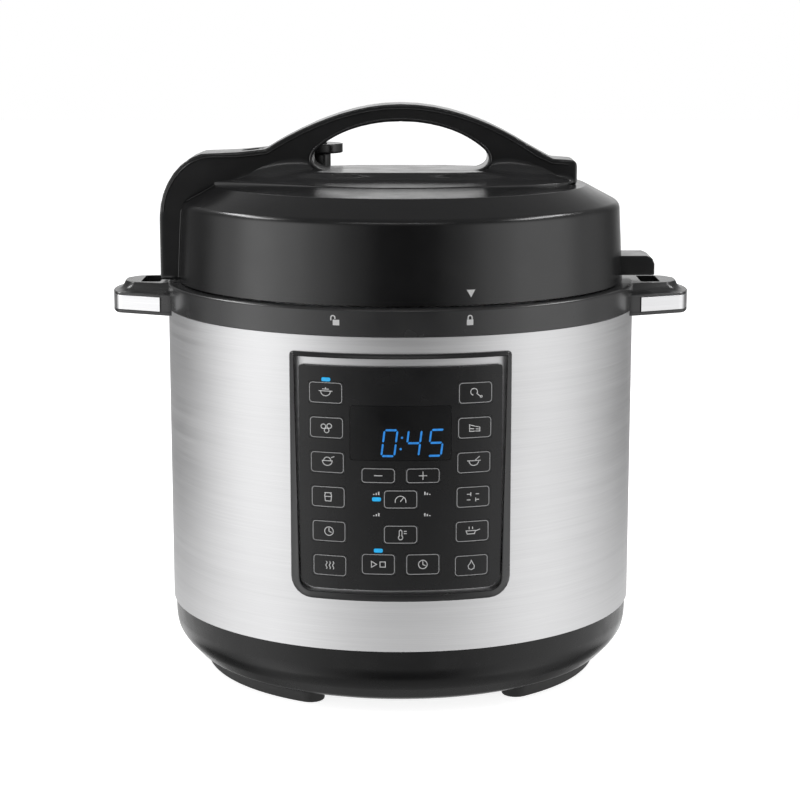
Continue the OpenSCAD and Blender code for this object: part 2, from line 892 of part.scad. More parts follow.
module power_inlet() {
    socket_back_y = inlet_face_y - socket_depth;
    color(BLACK)
        translate([0, 0, inlet_z])
            difference() {
                union() {
                    front_extrude(inlet_back_y, inlet_face_y)
                        square([socket_w + 2 * inlet_wall, socket_h + 2 * inlet_wall], center = true);
                    intersection() {
                        front_extrude(wrap_r - 5, inlet_face_y)
                            square([socket_w + 4 * inlet_wall, socket_h + 4 * inlet_wall], center = true);
                        ring(wrap_r + running, wrap_r + 20, -50, 100);
                    }
                }
                front_extrude(socket_back_y, inlet_face_y + cut)
                    square([socket_w, socket_h], center = true);
                for (x = [-7, 7])
                    front_extrude(inlet_back_y - cut, inlet_face_y)
                        translate([x - 1.05, -pin_drop - 2.05])
                            square([2.1, 4.1]);
                front_extrude(inlet_back_y - cut, inlet_face_y)
                    translate([-1.05, 2.95])
                        square([2.1, 4.1]);
            }
}

module inlet_pins() {
    pin_end_y = inlet_face_y - 2;
    color(BRASS)
        translate([0, 0, inlet_z]) {
            for (x = [-7, 7])
                front_extrude(inlet_back_y + 0.2, pin_end_y)
                    translate([x - 1, -pin_drop - 2])
                        square([2, 4]);
            front_extrude(inlet_back_y + 0.2, pin_end_y)
                translate([-1, 3])
                    square([2, 4]);
        }
}

module lead_wires() {
    end_z = power_z + board_t + 11;
    end_y = power_d / 2 + wire_r + 2;
    color(DARK) {
        tube([[8, inlet_back_y + 6, inlet_z - socket_h / 2 - inlet_wall - wire_r - 0.5],
            [4, inlet_back_y - 5.6, wire_z + 4], [-42, inlet_back_y - 33.6, wire_z - 2],
            [power_x + 2, end_y + 2.8, end_z]], wire_r);
        tube([[-20, -board_y - 4, bezel_z + 9], [-26, -board_y - 2, wire_z + 20], [-34, 12 - board_y, wire_z],
            [power_x + 2, -end_y + 0.2, end_z]], wire_r);
    }
}

// ---- Condensation collector ----

rail_z = band_z - 30;
rail_h = 4;
rail_gap = 0.3;
cup_y = wrap_r + 4;
cup_z = band_z - 58;
cup_wall = 1.8;
ear_w = 2;
arm_end_y = cup_y + 13;

module collector_bracket() {
    half = cup_w / 2 + 0.6;
    color(BLACK)
        difference() {
            union() {
                translate([-half - 4, wrap_r - 8, cup_z + 8])
                    cube([2 * half + 8, 11, cup_h - 8]);
                for (side = [-1, 1])
                    translate([side * (half + 2) - 2, wrap_r - 8, rail_z - 6])
                        cube([4, arm_end_y - wrap_r + 8, rail_h + 12]);
            }
            translate([0, 0, cup_z])
                cylinder(r = wrap_r + running, h = cup_h + 2);
            translate([-half - ear_w + 0.3, cup_y - rail_gap, rail_z - rail_gap])
                cube([2 * half + 2 * ear_w - 0.6, arm_end_y, rail_h + 2 * rail_gap]);
        }
}

module condensation_collector() {
    color(CLEAR)
        difference() {
            union() {
                translate([0, cup_y + cup_d / 2, cup_z])
                    linear_extrude(cup_h)
                        polygon(rounded_points(cup_w, cup_d, 5));
                for (side = [-1, 1])
                    translate([side * (cup_w / 2 + ear_w / 2 - 0.5) - ear_w / 2 - 0.5, cup_y + 5, rail_z])
                        cube([ear_w + 1, arm_end_y - cup_y - 6, rail_h]);
            }
            translate([0, cup_y + cup_d / 2, cup_z + cup_wall])
                linear_extrude(cup_h)
                    polygon(rounded_points(cup_w - 2 * cup_wall, cup_d - 2 * cup_wall, 4));
        }
}

// ---- Lid ----

boss_r = 5;
boss_circle_r = plate_r - 22.5;
boss_first = 30;
cover_t = wall;
tab_x = 21;
tab_w = 30;

// The lid's outer profile, moved in by a given amount
function lid_profile(inset) = concat(
    [[lid_r - inset, skirt_z]],
    arc(lid_top_r - shoulder_r, shoulder_z, shoulder_r - inset, 0, 90 - rim_slope, 5),
    [for (i = [0:5]) let (share = 1 - i / 6) [hub_r * share, hub_z - inset + dome_rise * (1 - share * share)]]
);

module lid_solid(inset) {
    rotate_extrude()
        polygon(concat([[0, skirt_z]], lid_profile(inset), [[0, lid_top_z - inset]]));
}

module lid_bosses(r, z, h) {
    around(4, boss_first)
        translate([boss_circle_r, 0, z])
            cylinder(r = r, h = h, $fn = 32);
}

module lid_cover() {
    color(BLACK)
        difference() {
            union() {
                difference() {
                    lid_solid(0);
                    translate([0, 0, -0.01])
                        lid_solid(cover_t);
                }
                lid_bosses(boss_r, plate_top_z, lid_top_z - 2 - plate_top_z);
                difference() {
                    translate([lid_r - 6, -tab_w / 2, skirt_z + 2.4])
                        linear_extrude(10.9)
                            polygon([[0, 0], [tab_x + 4, 0], [tab_x + 4, tab_w], [0, tab_w]]);
                    translate([0, 0, skirt_z])
                        cylinder(r = lid_top_r - 1, h = 20);
                    translate([lid_r - 2 + tab_x, 0, skirt_z + 2.4 + 10.9])
                        rotate([0, 45, 0])
                            cube([4, tab_w + 2, 4], center = true);
                }
            }
            lid_bosses(1.6, plate_top_z - cut, 12);
            translate([-valve_x, valve_y, 0])
                cylinder(r = vent_r + 1.5, h = lid_top_z + 10);
            translate([-float_x, 0, 0])
                cylinder(r = float_r + 1.5, h = lid_top_z + 10, $fn = 48);
        }
}

arch_top_z = lid_top_z + arch_rise;
arm_x = lid_r + 12.2;
arm_top_z = arch_top_z - 27.6;
arch_t = 9.9;
tail_x = 99.7;
saddle_z = arch_top_z - 38;
saddle_x = 54;
saddle_y = 32;
apron_t = 0.8;

// Side view of the handle: arm, arch and tail
function handle_side() = concat(
    bezier([-arm_x, arm_top_z - 37], [-arm_x, arm_top_z - 19], [-arm_x + 13, arm_top_z], [-arm_x + 33, arm_top_z], 8),
    [[-92, arm_top_z]],
    bezier([-76, arm_top_z + 1.6], [-56, arm_top_z + 14.5], [-30, arch_top_z], [0, arch_top_z], 10),
    bezier([0, arch_top_z], [32, arch_top_z], [58, arch_top_z - 13.6], [78, arm_top_z - 0.2], 10),
    [[86, arm_top_z - 3.8], [95, arm_top_z - 4.4]],
    arc(tail_x - 3, arm_top_z - 7.6, 3, 80, 0, 4),
    [[tail_x, lid_top_z - 12], [-arm_x + 20, lid_top_z - 12], [-arm_x + 20, skirt_z], [-arm_x, skirt_z]]
);

// The hand opening under the arch
function handle_opening() = let (top = arch_top_z - arch_t) concat(
    bezier([0, top], [22, top], [38, top - 8], [46.5, top - 15.3], 8),
    bezier([46.5, top - 15.3], [52.5, top - 20.5], [51.5, saddle_z - 0.2], [38, saddle_z - 0.2], 6),
    bezier([-38, saddle_z - 0.2], [-51.5, saddle_z - 0.2], [-52.5, top - 20.5], [-46.5, top - 15.3], 6),
    bezier([-46.5, top - 15.3], [-38, top - 8], [-22, top], [0, top], 8)
);

// Plan of the handle's foot, as a share of its full half-width
function flare_plan(share, tip) = let (w = flare_w * share) concat(
    bezier([tip, 0], [tip, 0.35 * w], [tip - 10, 0.5 * w], [72, 0.62 * w], 5),
    bezier([72, 0.62 * w], [50, 0.75 * w], [30, w], [0, w], 6),
    bezier([0, w], [-40, w], [-50, 0.62 * w], [-96, arm_w / 2 * share], 6),
    bezier([-96, -arm_w / 2 * share], [-50, -0.62 * w], [-40, -w], [0, -w], 6),
    bezier([0, -w], [30, -w], [50, -0.75 * w], [72, -0.62 * w], 6),
    bezier([72, -0.62 * w], [tip - 10, -0.5 * w], [tip, -0.35 * w], [tip, 0], 5)
);

module lid_handle() {
    color(BLACK)
        difference() {
            union() {
                front_extrude(-arch_w / 2, arch_w / 2)
                    difference() {
                        polygon(handle_side());
                        polygon(handle_opening());
                    }
                intersection() {
                    front_extrude(-arm_w / 2, arm_w / 2)
                        polygon(handle_side());
                    translate([-arm_x - cut, -arm_w, skirt_z])
                        cube([arm_x - 88, 2 * arm_w, 100]);
                }
                hull() {
                    translate([0, 0, lid_top_z - 3])
                        linear_extrude(3 - apron_t)
                            polygon(flare_plan(1, tail_x));
                    translate([0, 0, lid_top_z + 1])
                        linear_extrude(apron_t)
                            polygon(flare_plan(0.6, tail_x - 1));
                }
                hull() {
                    translate([0, 0, lid_top_z])
                        linear_extrude(apron_t)
                            polygon(flare_plan(0.58, tail_x - 1));
                    translate([0, 0, saddle_z - 1])
                        linear_extrude(1)
                            polygon(rounded_points(2 * saddle_x, 2 * saddle_y, saddle_y - 6));
                }
            }
            lid_solid(-running);
            translate([-90, -11, skirt_z])
                cube([178, 22, lid_top_z + 3 - skirt_z]);
            translate([-float_x, 0, 0])
                cylinder(r = float_r + running, h = arch_top_z, $fn = 48);
            translate([-float_x, 0, arm_top_z - 5])
                cylinder(r = 6, h = 20, $fn = 48);
        }
}

module lid_plate() {
    color(STEEL)
        difference() {
            union() {
                ring(plate_r - plate_wall_t, plate_r, plate_z, plate_top_z - plate_z);
                translate([0, 0, plate_top_z - plate_wall_t])
                    cylinder(r = plate_r, h = plate_wall_t);
                around(lug_count, 90)
                    arc_pad(plate_r - 0.5, lid_lug_r, plate_z, lug_t, lug_arc);
                rotate([0, 0, follower_angle - 6])
                    arc_pad(plate_r - 0.5, lid_lug_r, follower_z + 9, 3, 3);
            }
            lid_bosses(1.9, plate_top_z - 5, 10);
            translate([-valve_x, valve_y, plate_top_z - 5])
                cylinder(r = vent_r + running, h = 10, $fn = 48);
            translate([-float_x, 0, plate_top_z - 5])
                cylinder(r = float_r + 0.5, h = 10, $fn = 48);
        }
}

module lid_screws() {
    color(ALLOY)
        around(4, boss_first)
            translate([boss_circle_r, 0, plate_top_z - plate_wall_t])
                mirror([0, 0, 1])
                    pan_screw(1.55, 3.4, 1.8, 11);
}

follower_angle = 76;
follower_z = ring_z + ring_base_t + 0.2;

module lid_follower() {
    rail_r = ring_wall_r + ring_wall_t + 0.4;
    color(BLACK)
        rotate([0, 0, follower_angle]) {
            arc_pad(rail_r, band_in_r - 0.4, follower_z, 10.4, 8);
            arc_pad(ring_lug_r, rail_r + 1, ring_z + ring_h + 0.4, 2, 8);
        }
}

gasket_h = 6;
gasket_r = plate_r - plate_wall_t - 0.3;
gasket_w = 6.4;
rack_wire_r = 1.1;
rack_r = gasket_r - gasket_w - rack_wire_r - 0.1;
gasket_z = pot_top_z + 0.2;

module sealing_ring() {
    color(SILICONE)
        rotate_extrude()
            polygon([
                [gasket_r - gasket_w, gasket_z + 2.2], [gasket_r - gasket_w + 2, gasket_z],
                [gasket_r - 1.2, gasket_z], [gasket_r - 1.2, gasket_z + 1.6], [gasket_r, gasket_z + 1.6],
                [gasket_r, gasket_z + gasket_h + 3], [gasket_r - 2, gasket_z + gasket_h + 3],
                [gasket_r - 2.4, gasket_z + gasket_h], [gasket_r - gasket_w, gasket_z + gasket_h]
            ]);
}

module gasket_rack() {
    color(STEEL) {
        translate([0, 0, gasket_z + 4])
            rotate_extrude()
                translate([rack_r, 0])
                    circle(r = rack_wire_r, $fn = 24);
        around(4, 60)
            translate([rack_r - rack_wire_r, -4, gasket_z + 4])
                cube([rack_wire_r, 8, plate_top_z - plate_wall_t - gasket_z - 4]);
    }
}

shield_r = 13;
shield_h = 14;
shield_top_z = plate_top_z - plate_wall_t - 3.2;

module anti_block_shield() {
    color(STEEL)
        translate([-valve_x, valve_y, shield_top_z - shield_h])
            difference() {
                cylinder(r = shield_r, h = shield_h);
                translate([0, 0, 1])
                    cylinder(r = shield_r - 1, h = shield_h);
                around(8)
                    translate([shield_r - 3, -1.5, 4])
                        cube([6, 3, 6]);
            }
}

vent_top_z = arm_top_z - 8;

module vent_pipe() {
    foot_z = plate_top_z - plate_wall_t;
    color(STEEL)
        translate([-valve_x, valve_y, 0])
            difference() {
                union() {
                    translate([0, 0, foot_z - 3])
                        cylinder(r = vent_r, h = vent_top_z - foot_z + 3);
                    translate([0, 0, foot_z - 3])
                        cylinder(r = vent_r + 3, h = 3, $fn = 6);
                    translate([0, 0, plate_top_z])
                        cylinder(r = vent_r + 3, h = 3, $fn = 6);
                }
                translate([0, 0, foot_z - 4])
                    cylinder(r = 1.6, h = vent_top_z - foot_z + 6, $fn = 32);
            }
}

module release_valve() {
    cap_z = arm_top_z - 5;
    stem_r = 8.4;
    color(BLACK)
        translate([-valve_x, valve_y, 0])
            difference() {
                union() {
                    translate([0, 0, lid_top_z + 0.8])
                        cylinder(r = stem_r, h = cap_z - lid_top_z - 0.8);
                    translate([0, 0, cap_z])
                        cylinder(r = valve_cap_r, h = 5.6);
                    translate([-6, -4, cap_z + 5])
                        cube([12, 8, 2.6]);
                }
                cylinder(r = vent_r + running, h = vent_top_z + 0.2, $fn = 96);
            }
}

float_travel = 5;

module float_valve() {
    under = plate_top_z - plate_wall_t - float_travel - 0.3;
    color(ALLOY)
        translate([-float_x, 0, 0]) {
            translate([0, 0, under - 4])
                cylinder(r = float_r + 4, h = 4, $fn = 48);
            translate([0, 0, under - 1])
                cylinder(r = float_r, h = arm_top_z - 3 - under + 1, $fn = 48);
        }
}

base_cover();
feet();
bottom_plate();
housing_screws();
steel_wrap();
top_band();
handle_trims();
lock_ring();
pot_well();
well_floor();
heating_plate();
heater_element();
plate_supports();
cooking_pot();
thermal_sensor();
sensor_spring();
thermal_fuse();
control_bezel();
panel_film();
display_window();
led_display();
indicator_leds();
control_board();
tact_switches();
power_board();
power_components();
power_inlet();
inlet_pins();
lead_wires();
collector_bracket();
condensation_collector();
lid_follower();
lid_cover();
lid_handle();
lid_plate();
lid_screws();
sealing_ring();
gasket_rack();
anti_block_shield();
vent_pipe();
float_valve();
release_valve();
for (k = KEYS)
    touch_key(k);
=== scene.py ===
"""Looks of an electric pressure cooker: its smooth outer pieces, finishes, light and camera.

Sizes are millimetres until a piece is settled. +Z is up, -Y faces the control panel, and the
origin is on the cooker's axis at the table.
"""

import json
import logging
import math
from dataclasses import dataclass, field
from enum import Enum
from typing import Callable, Dict, Iterable, List, Optional, Sequence, Tuple, Union

import bmesh
import bpy
from mathutils import Matrix, Vector


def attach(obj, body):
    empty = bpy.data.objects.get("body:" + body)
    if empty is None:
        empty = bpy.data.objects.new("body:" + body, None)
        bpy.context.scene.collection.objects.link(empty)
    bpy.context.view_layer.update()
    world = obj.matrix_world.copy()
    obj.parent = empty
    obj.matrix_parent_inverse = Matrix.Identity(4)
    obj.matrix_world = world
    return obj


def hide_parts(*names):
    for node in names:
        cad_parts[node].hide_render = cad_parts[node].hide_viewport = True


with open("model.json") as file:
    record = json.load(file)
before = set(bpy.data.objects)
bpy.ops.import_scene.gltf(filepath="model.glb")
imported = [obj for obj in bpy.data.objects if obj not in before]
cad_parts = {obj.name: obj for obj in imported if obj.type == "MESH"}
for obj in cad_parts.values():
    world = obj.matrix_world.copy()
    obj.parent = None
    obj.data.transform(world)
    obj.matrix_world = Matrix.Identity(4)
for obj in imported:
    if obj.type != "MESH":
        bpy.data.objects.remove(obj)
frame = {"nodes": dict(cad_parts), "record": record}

LOG = logging.getLogger("cooker")
MM = 0.001
NOISE_EDGES = (0.3, 0.7)
WRAP_R = 133.0
BAND_R = 133.4
BAND_MARK_Z = 216.0
PRINT = 0.08
RELIEF = 0.03
Point = Tuple[float, float]
Colour = Tuple[float, float, float]
Value = Union[float, Sequence[float], bpy.types.NodeSocket]


class Body(Enum):
    """Bodies of the frame that pieces ride on."""

    HOUSING = "housing"
    POT = "cooking_pot"
    COLLECTOR = "condensation_collector"
    LID = "lid"
    SHIELD = "anti_block_shield"
    FLOAT = "float_valve"
    VALVE = "release_valve"


class Slot(Enum):
    """Material slots of the record."""

    PLASTIC = "black_plastic"
    BEZEL = "gloss_bezel"
    FILM = "panel_film"
    WINDOW = "display_window"
    FOOT = "foot_rubber"
    BRUSHED = "brushed_stainless"
    STAMPED = "stamped_steel"
    CAST = "cast_aluminium"
    COATING = "pot_coating"
    SILICONE = "silicone"
    FASTENER = "fastener_steel"
    LIGHT = "blue_leds"
    BOARD = "circuit_board"
    COMPONENT = "component_black"
    BRASS = "contact_brass"
    CLEAR = "clear_plastic"


# --------------------------------------------------------------------------------------
# Finishes
# --------------------------------------------------------------------------------------


class Graph:
    """A node tree, written with short calls."""

    def __init__(self, tree: bpy.types.NodeTree) -> None:
        """Starts on a tree."""
        self.tree = tree

    def node(self, kind: str, **settings: object) -> bpy.types.Node:
        """Adds a node.

        Args:
            kind: Blender's name of the node type.
            settings: Properties to set on it.

        Returns:
            The new node.
        """
        made = self.tree.nodes.new(kind)
        for key, value in settings.items():
            setattr(made, key, value)
        return made

    def feed(self, source: Value, target: bpy.types.NodeSocket) -> None:
        """Links a socket to another, or writes a number on it.

        Args:
            source: A socket, or the number.
            target: The socket that takes it.
        """
        if isinstance(source, bpy.types.NodeSocket):
            self.tree.links.new(source, target)
        else:
            target.default_value = source

    def sum(self, operation: str, *terms: Value) -> bpy.types.NodeSocket:
        """Calculates with one Math node.

        Args:
            operation: Blender's name of the operation.
            terms: Its sockets or numbers, in order.

        Returns:
            The result.
        """
        made = self.node("ShaderNodeMath", operation=operation)
        for place, term in enumerate(terms):
            self.feed(term, made.inputs[place])
        return made.outputs[0]

    def rise(
        self, value: Value, edges: Point, ends: Point = (0.0, 1.0), shape: str = "LINEAR"
    ) -> bpy.types.NodeSocket:
        """Maps a range of values to another.

        Args:
            value: The value.
            edges: Where the rise starts and ends.
            ends: The values there.
            shape: Blender's name of the rise's form.

        Returns:
            The mapped value.
        """
        made = self.node("ShaderNodeMapRange", interpolation_type=shape)
        names = ("From Min", "From Max", "To Min", "To Max")
        for name, number in zip(names, (*edges, *ends)):
            made.inputs[name].default_value = number
        self.feed(value, made.inputs["Value"])
        return made.outputs["Result"]

    def ramp(
        self, value: Value, stops: Sequence[Tuple[float, Colour]], shape: str = "LINEAR"
    ) -> bpy.types.NodeSocket:
        """Colours a value by stops.

        Args:
            value: The value, 0 to 1.
            stops: Places and colours, the first and the last included.
            shape: Blender's name of the way between stops.

        Returns:
            The colour.
        """
        made = self.node("ShaderNodeValToRGB")
        made.color_ramp.interpolation = shape
        ends = made.color_ramp.elements
        for end, (place, colour) in zip(ends, (stops[0], stops[-1])):
            end.position, end.color = place, (*colour, 1.0)
        for place, colour in stops[1:-1]:
            ends.new(place).color = (*colour, 1.0)
        self.feed(value, made.inputs["Fac"])
        return made.outputs["Color"]

    def mix(self, share: Value, first: Value, second: Value) -> bpy.types.NodeSocket:
        """Mixes two values.

        Args:
            share: 0 for the first one, 1 for the second.
            first: The first value.
            second: The second value.

        Returns:
            The mix.
        """
        made = self.node("ShaderNodeMix")
        for place, term in ((0, share), (2, first), (3, second)):
            self.feed(term, made.inputs[place])
        return made.outputs[0]


class Recipe(Graph):
    """The node tree of one material."""

    def __init__(self, name: str) -> None:
        """Starts a material with a Principled shader and Object coordinates.

        Args:
            name: The material's name.
        """
        self.material = bpy.data.materials.new(name)
        self.material.use_nodes = True
        super().__init__(self.material.node_tree)
        self.shader = self.tree.nodes["Principled BSDF"]
        self.place = self.node("ShaderNodeTexCoord").outputs["Object"]

    def give(self, **values: Value) -> None:
        """Links sockets or writes numbers on the shader's own sockets.

        Args:
            values: Socket names with underscores for spaces, and what they take.
        """
        for key, value in values.items():
            self.feed(value, self.shader.inputs[key.replace("_", " ")])

    def noise(
        self, size: float, detail: float = 3.0, stretch: Sequence[float] = (1.0, 1.0, 1.0)
    ) -> bpy.types.NodeSocket:
        """Noise with features of a given size.

        Args:
            size: Feature size in millimetres.
            detail: Octaves of finer noise.
            stretch: Factors on the coordinates before the noise.

        Returns:
            The noise's factor, 0 to 1 with a mean of a half.
        """
        mapping = self.node("ShaderNodeMapping")
        mapping.inputs["Scale"].default_value = stretch
        self.feed(self.place, mapping.inputs["Vector"])
        made = self.node("ShaderNodeTexNoise")
        made.inputs["Scale"].default_value = 1.0 / (size * MM)
        made.inputs["Detail"].default_value = detail
        self.feed(mapping.outputs["Vector"], made.inputs["Vector"])
        return made.outputs["Fac"]

    def span(self, value: Value, ends: Point) -> bpy.types.NodeSocket:
        """Maps the middle range of a noise to a range of values."""
        return self.rise(value, NOISE_EDGES, ends)

    def tint(self, value: Value, dark: Colour, pale: Colour) -> bpy.types.NodeSocket:
        """Mixes two colours over the middle range of a noise."""
        return self.ramp(value, ((0.3, dark), (0.7, pale)))

    def bump(
        self, height: Value, depth: float, under: Optional[bpy.types.NodeSocket] = None
    ) -> bpy.types.NodeSocket:
        """Turns a height into a surface normal.

        Args:
            height: Height factor, 0 to 1.
            depth: Height in millimetres that a factor of 1 stands for.
            under: A normal that this one adds to.

        Returns:
            The normal.
        """
        made = self.node("ShaderNodeBump")
        made.inputs["Strength"].default_value = 1.0
        made.inputs["Distance"].default_value = depth * MM
        self.feed(height, made.inputs["Height"])
        if under is not None:
            self.feed(under, made.inputs["Normal"])
        return made.outputs["Normal"]


@dataclass(frozen=True)
class Finish:
    """A finish; its material is made the first time that a piece asks for it."""

    name: str

    def material(self) -> bpy.types.Material:
        """Gives the finish's material, painted once.

        Returns:
            The material.
        """
        made = bpy.data.materials.get(self.name)
        if made is None:
            recipe = Recipe(self.name)
            self.paint(recipe)
            made = recipe.material
        return made

    def paint(self, recipe: Recipe) -> None:
        """Writes the finish's nodes on an empty material."""
        raise NotImplementedError


@dataclass(frozen=True)
class Moulded(Finish):
    """Moulded plastic, rubber or silicone: fine texture, soft mottling of colour and gloss."""

    dark: Colour
    pale: Colour
    roughness: Point
    grain: float = 0.45
    depth: float = 0.006
    cloud: float = 35.0
    specular: float = 0.5

    def paint(self, recipe: Recipe) -> None:
        """Writes the finish's nodes.

        Args:
            recipe: The empty material.
        """
        swell = recipe.bump(recipe.noise(self.cloud * 0.6, 2.0), self.depth * 2.0)
        recipe.give(
            Base_Color=recipe.tint(recipe.noise(self.cloud, 4.0), self.dark, self.pale),
            Roughness=recipe.span(recipe.noise(self.cloud * 0.4, 5.0), self.roughness),
            Normal=recipe.bump(recipe.noise(self.grain, 2.0), self.depth, swell),
            Specular_IOR_Level=self.specular,
        )


@dataclass(frozen=True)
class Brushed(Finish):
    """Metal with brush lines round the cooker's axis."""

    dark: Colour
    pale: Colour
    roughness: Point
    smear: float = 0.0
    stretch: Tuple[float, float, float] = (0.01, 0.01, 1.0)
    line: float = 0.35
    depth: float = 0.004
    cloud: float = 60.0

    def paint(self, recipe: Recipe) -> None:
        """Writes the finish's nodes.

        Args:
            recipe: The empty material.
        """
        lines = recipe.noise(self.line, 3.0, self.stretch)
        broad = recipe.noise(self.line * 6.0, 2.0, self.stretch)
        grain = recipe.sum("MULTIPLY_ADD", lines, 0.6, recipe.sum("MULTIPLY", broad, 0.4))
        wear = recipe.sum(
            "MULTIPLY_ADD", recipe.noise(self.cloud, 3.0), 0.35,
            recipe.sum("MULTIPLY", grain, 0.65),
        )
        recipe.give(
            Base_Color=recipe.tint(grain, self.dark, self.pale),
            Roughness=recipe.span(wear, self.roughness),
            Normal=recipe.bump(lines, self.depth),
            Metallic=1.0,
            Anisotropic=self.smear,
        )
        if self.smear:
            around = recipe.node("ShaderNodeTangent", direction_type="RADIAL", axis="Z")
            recipe.give(Tangent=around.outputs["Tangent"])


@dataclass(frozen=True)
class Metal(Finish):
    """Plain, cast or stamped metal: mottled colour, uneven gloss and a fine surface."""

    dark: Colour
    pale: Colour
    roughness: Point
    grain: float = 0.8
    depth: float = 0.008
    cloud: float = 12.0

    def paint(self, recipe: Recipe) -> None:
        """Writes the finish's nodes.

        Args:
            recipe: The empty material.
        """
        recipe.give(
            Base_Color=recipe.tint(recipe.noise(self.cloud, 5.0), self.dark, self.pale),
            Roughness=recipe.span(recipe.noise(self.cloud * 0.5, 4.0), self.roughness),
            Normal=recipe.bump(recipe.noise(self.grain, 3.0), self.depth),
            Metallic=1.0,
        )


@dataclass(frozen=True)
class Coating(Finish):
    """Non-stick coating: dark, satin, with fine metallic flecks."""

    ground: Colour
    fleck: Colour
    roughness: Point
    cell: float = 0.9

    def paint(self, recipe: Recipe) -> None:
        """Writes the finish's nodes.

        Args:
            recipe: The empty material.
        """
        cells = recipe.node("ShaderNodeTexVoronoi")
        cells.inputs["Scale"].default_value = 1.0 / (self.cell * MM)
        recipe.feed(recipe.place, cells.inputs["Vector"])
        stops = ((0.10, self.fleck), (0.17, self.ground))
        recipe.give(
            Base_Color=recipe.ramp(cells.outputs["Distance"], stops),
            Roughness=recipe.span(recipe.noise(9.0, 4.0), self.roughness),
            Normal=recipe.bump(recipe.noise(0.6, 2.0), 0.01),
        )


@dataclass(frozen=True)
class Glow(Finish):
    """A lit lamp or display segment, a little brighter in places."""

    colour: Colour
    strength: Point

    def paint(self, recipe: Recipe) -> None:
        """Writes the finish's nodes.

        Args:
            recipe: The empty material.
        """
        recipe.give(
            Emission_Strength=recipe.span(recipe.noise(2.0, 2.0), self.strength),
            Emission_Color=(*self.colour, 1.0),
            Base_Color=(0.01, 0.012, 0.015, 1.0),
            Roughness=0.4,
        )


@dataclass(frozen=True)
class Clear(Finish):
    """Clear or smoked plastic with fine scratches in its gloss."""

    colour: Colour
    roughness: Point
    transmission: float = 1.0

    def paint(self, recipe: Recipe) -> None:
        """Writes the finish's nodes.

        Args:
            recipe: The empty material.
        """
        recipe.give(
            Roughness=recipe.span(recipe.noise(14.0, 5.0), self.roughness),
            Normal=recipe.bump(recipe.noise(6.0, 2.0), 0.004),
            Base_Color=(*self.colour, 1.0),
            Transmission_Weight=self.transmission,
            IOR=1.5,
        )


BLACK = Moulded("moulded_black", (0.0045, 0.0045, 0.0048), (0.0065, 0.0065, 0.0068), (0.20, 0.26))
# Painted light: the handle's black is lighter than the lid's, so that the handle, its tab and ribs
# show the brightness that the light gives their faces.
HANDLE_BLACK_PAINTED_LIGHT = Moulded(
    "handle_black_painted_light", (0.015, 0.015, 0.0155), (0.019, 0.019, 0.0195), (0.20, 0.27)
)
BAND_BLACK = Moulded(
    "band_black", (0.018, 0.018, 0.0185), (0.024, 0.024, 0.0245), (0.22, 0.28)
)
# Painted shade: the base's black is darker and less glossy than the lid's, so that the base shows
# the shade of the floor under the cooker.
BASE_BLACK_PAINTED_SHADE = Moulded(
    "base_black_painted_shade", (0.0030, 0.0030, 0.0032), (0.0045, 0.0045, 0.0048), (0.24, 0.32), 0.5, 0.008,
    specular=0.24,
)
BEZEL_BLACK = Moulded(
    "bezel_black", (0.009, 0.009, 0.0095), (0.013, 0.013, 0.014), (0.26, 0.34), 0.5, 0.004
)
FILM_BLACK = Moulded(
    "film_black", (0.006, 0.006, 0.0064), (0.0085, 0.0085, 0.009), (0.22, 0.3), 0.3, 0.003,
    specular=0.32,
)
WINDOW_BLACK = Moulded(
    "window_smoked", (0.005, 0.005, 0.0054), (0.0075, 0.0075, 0.008), (0.16, 0.22), 0.3, 0.001,
    specular=0.3,
)
FOOT_RUBBER = Moulded(
    "foot_rubber", (0.012, 0.012, 0.012), (0.02, 0.02, 0.02), (0.5, 0.62), 0.4, 0.02
)
INNER_BLACK = Moulded(
    "inner_black", (0.012, 0.012, 0.012), (0.02, 0.02, 0.021), (0.4, 0.52), 0.6, 0.015
)
SILICONE = Moulded(
    "silicone", (0.55, 0.56, 0.56), (0.63, 0.64, 0.64), (0.42, 0.55), 0.8, 0.01, 20.0
)
COMPONENT = Moulded(
    "component_body", (0.014, 0.014, 0.015), (0.03, 0.03, 0.032), (0.35, 0.5), 0.4, 0.01, 6.0
)
BOARD_GREEN = Moulded(
    "board_green", (0.008, 0.075, 0.03), (0.014, 0.11, 0.045), (0.25, 0.38), 0.7, 0.01, 10.0
)
INK = Moulded("print_grey", (0.36, 0.36, 0.365), (0.44, 0.44, 0.445), (0.5, 0.6), 0.3, 0.002)
INK_WHITE = Moulded("print_white", (0.62, 0.62, 0.62), (0.72, 0.72, 0.72), (0.5, 0.6), 0.3, 0.002)
STEEL = Brushed(
    "brushed_steel", (0.50, 0.50, 0.505), (0.58, 0.58, 0.585), (0.33, 0.41), 0.75
)
TRIM_STEEL = Brushed("trim_steel", (0.50, 0.50, 0.505), (0.60, 0.60, 0.605), (0.26, 0.34))
STAMPED = Metal("stamped_steel", (0.55, 0.55, 0.56), (0.66, 0.66, 0.67), (0.22, 0.34))
FASTENER = Metal("fastener_steel", (0.42, 0.42, 0.43), (0.6, 0.6, 0.6), (0.28, 0.42), 0.5, 0.01, 5.0)
CAST = Metal("cast_aluminium", (0.55, 0.55, 0.55), (0.68, 0.68, 0.68), (0.38, 0.55), 0.9, 0.03)
SHELL = Metal("wire_chrome", (0.62, 0.62, 0.63), (0.72, 0.72, 0.73), (0.12, 0.2), 0.8, 0.002)
BRASS = Metal("contact_brass", (0.62, 0.44, 0.17), (0.78, 0.58, 0.26), (0.25, 0.4), 0.5, 0.01, 4.0)
POT_COATING = Coating("pot_coating", (0.014, 0.014, 0.0145), (0.09, 0.09, 0.09), (0.3, 0.42))
BLUE_GLOW = Glow("blue_glow", (0.010, 0.40, 0.80), (0.9, 1.1))
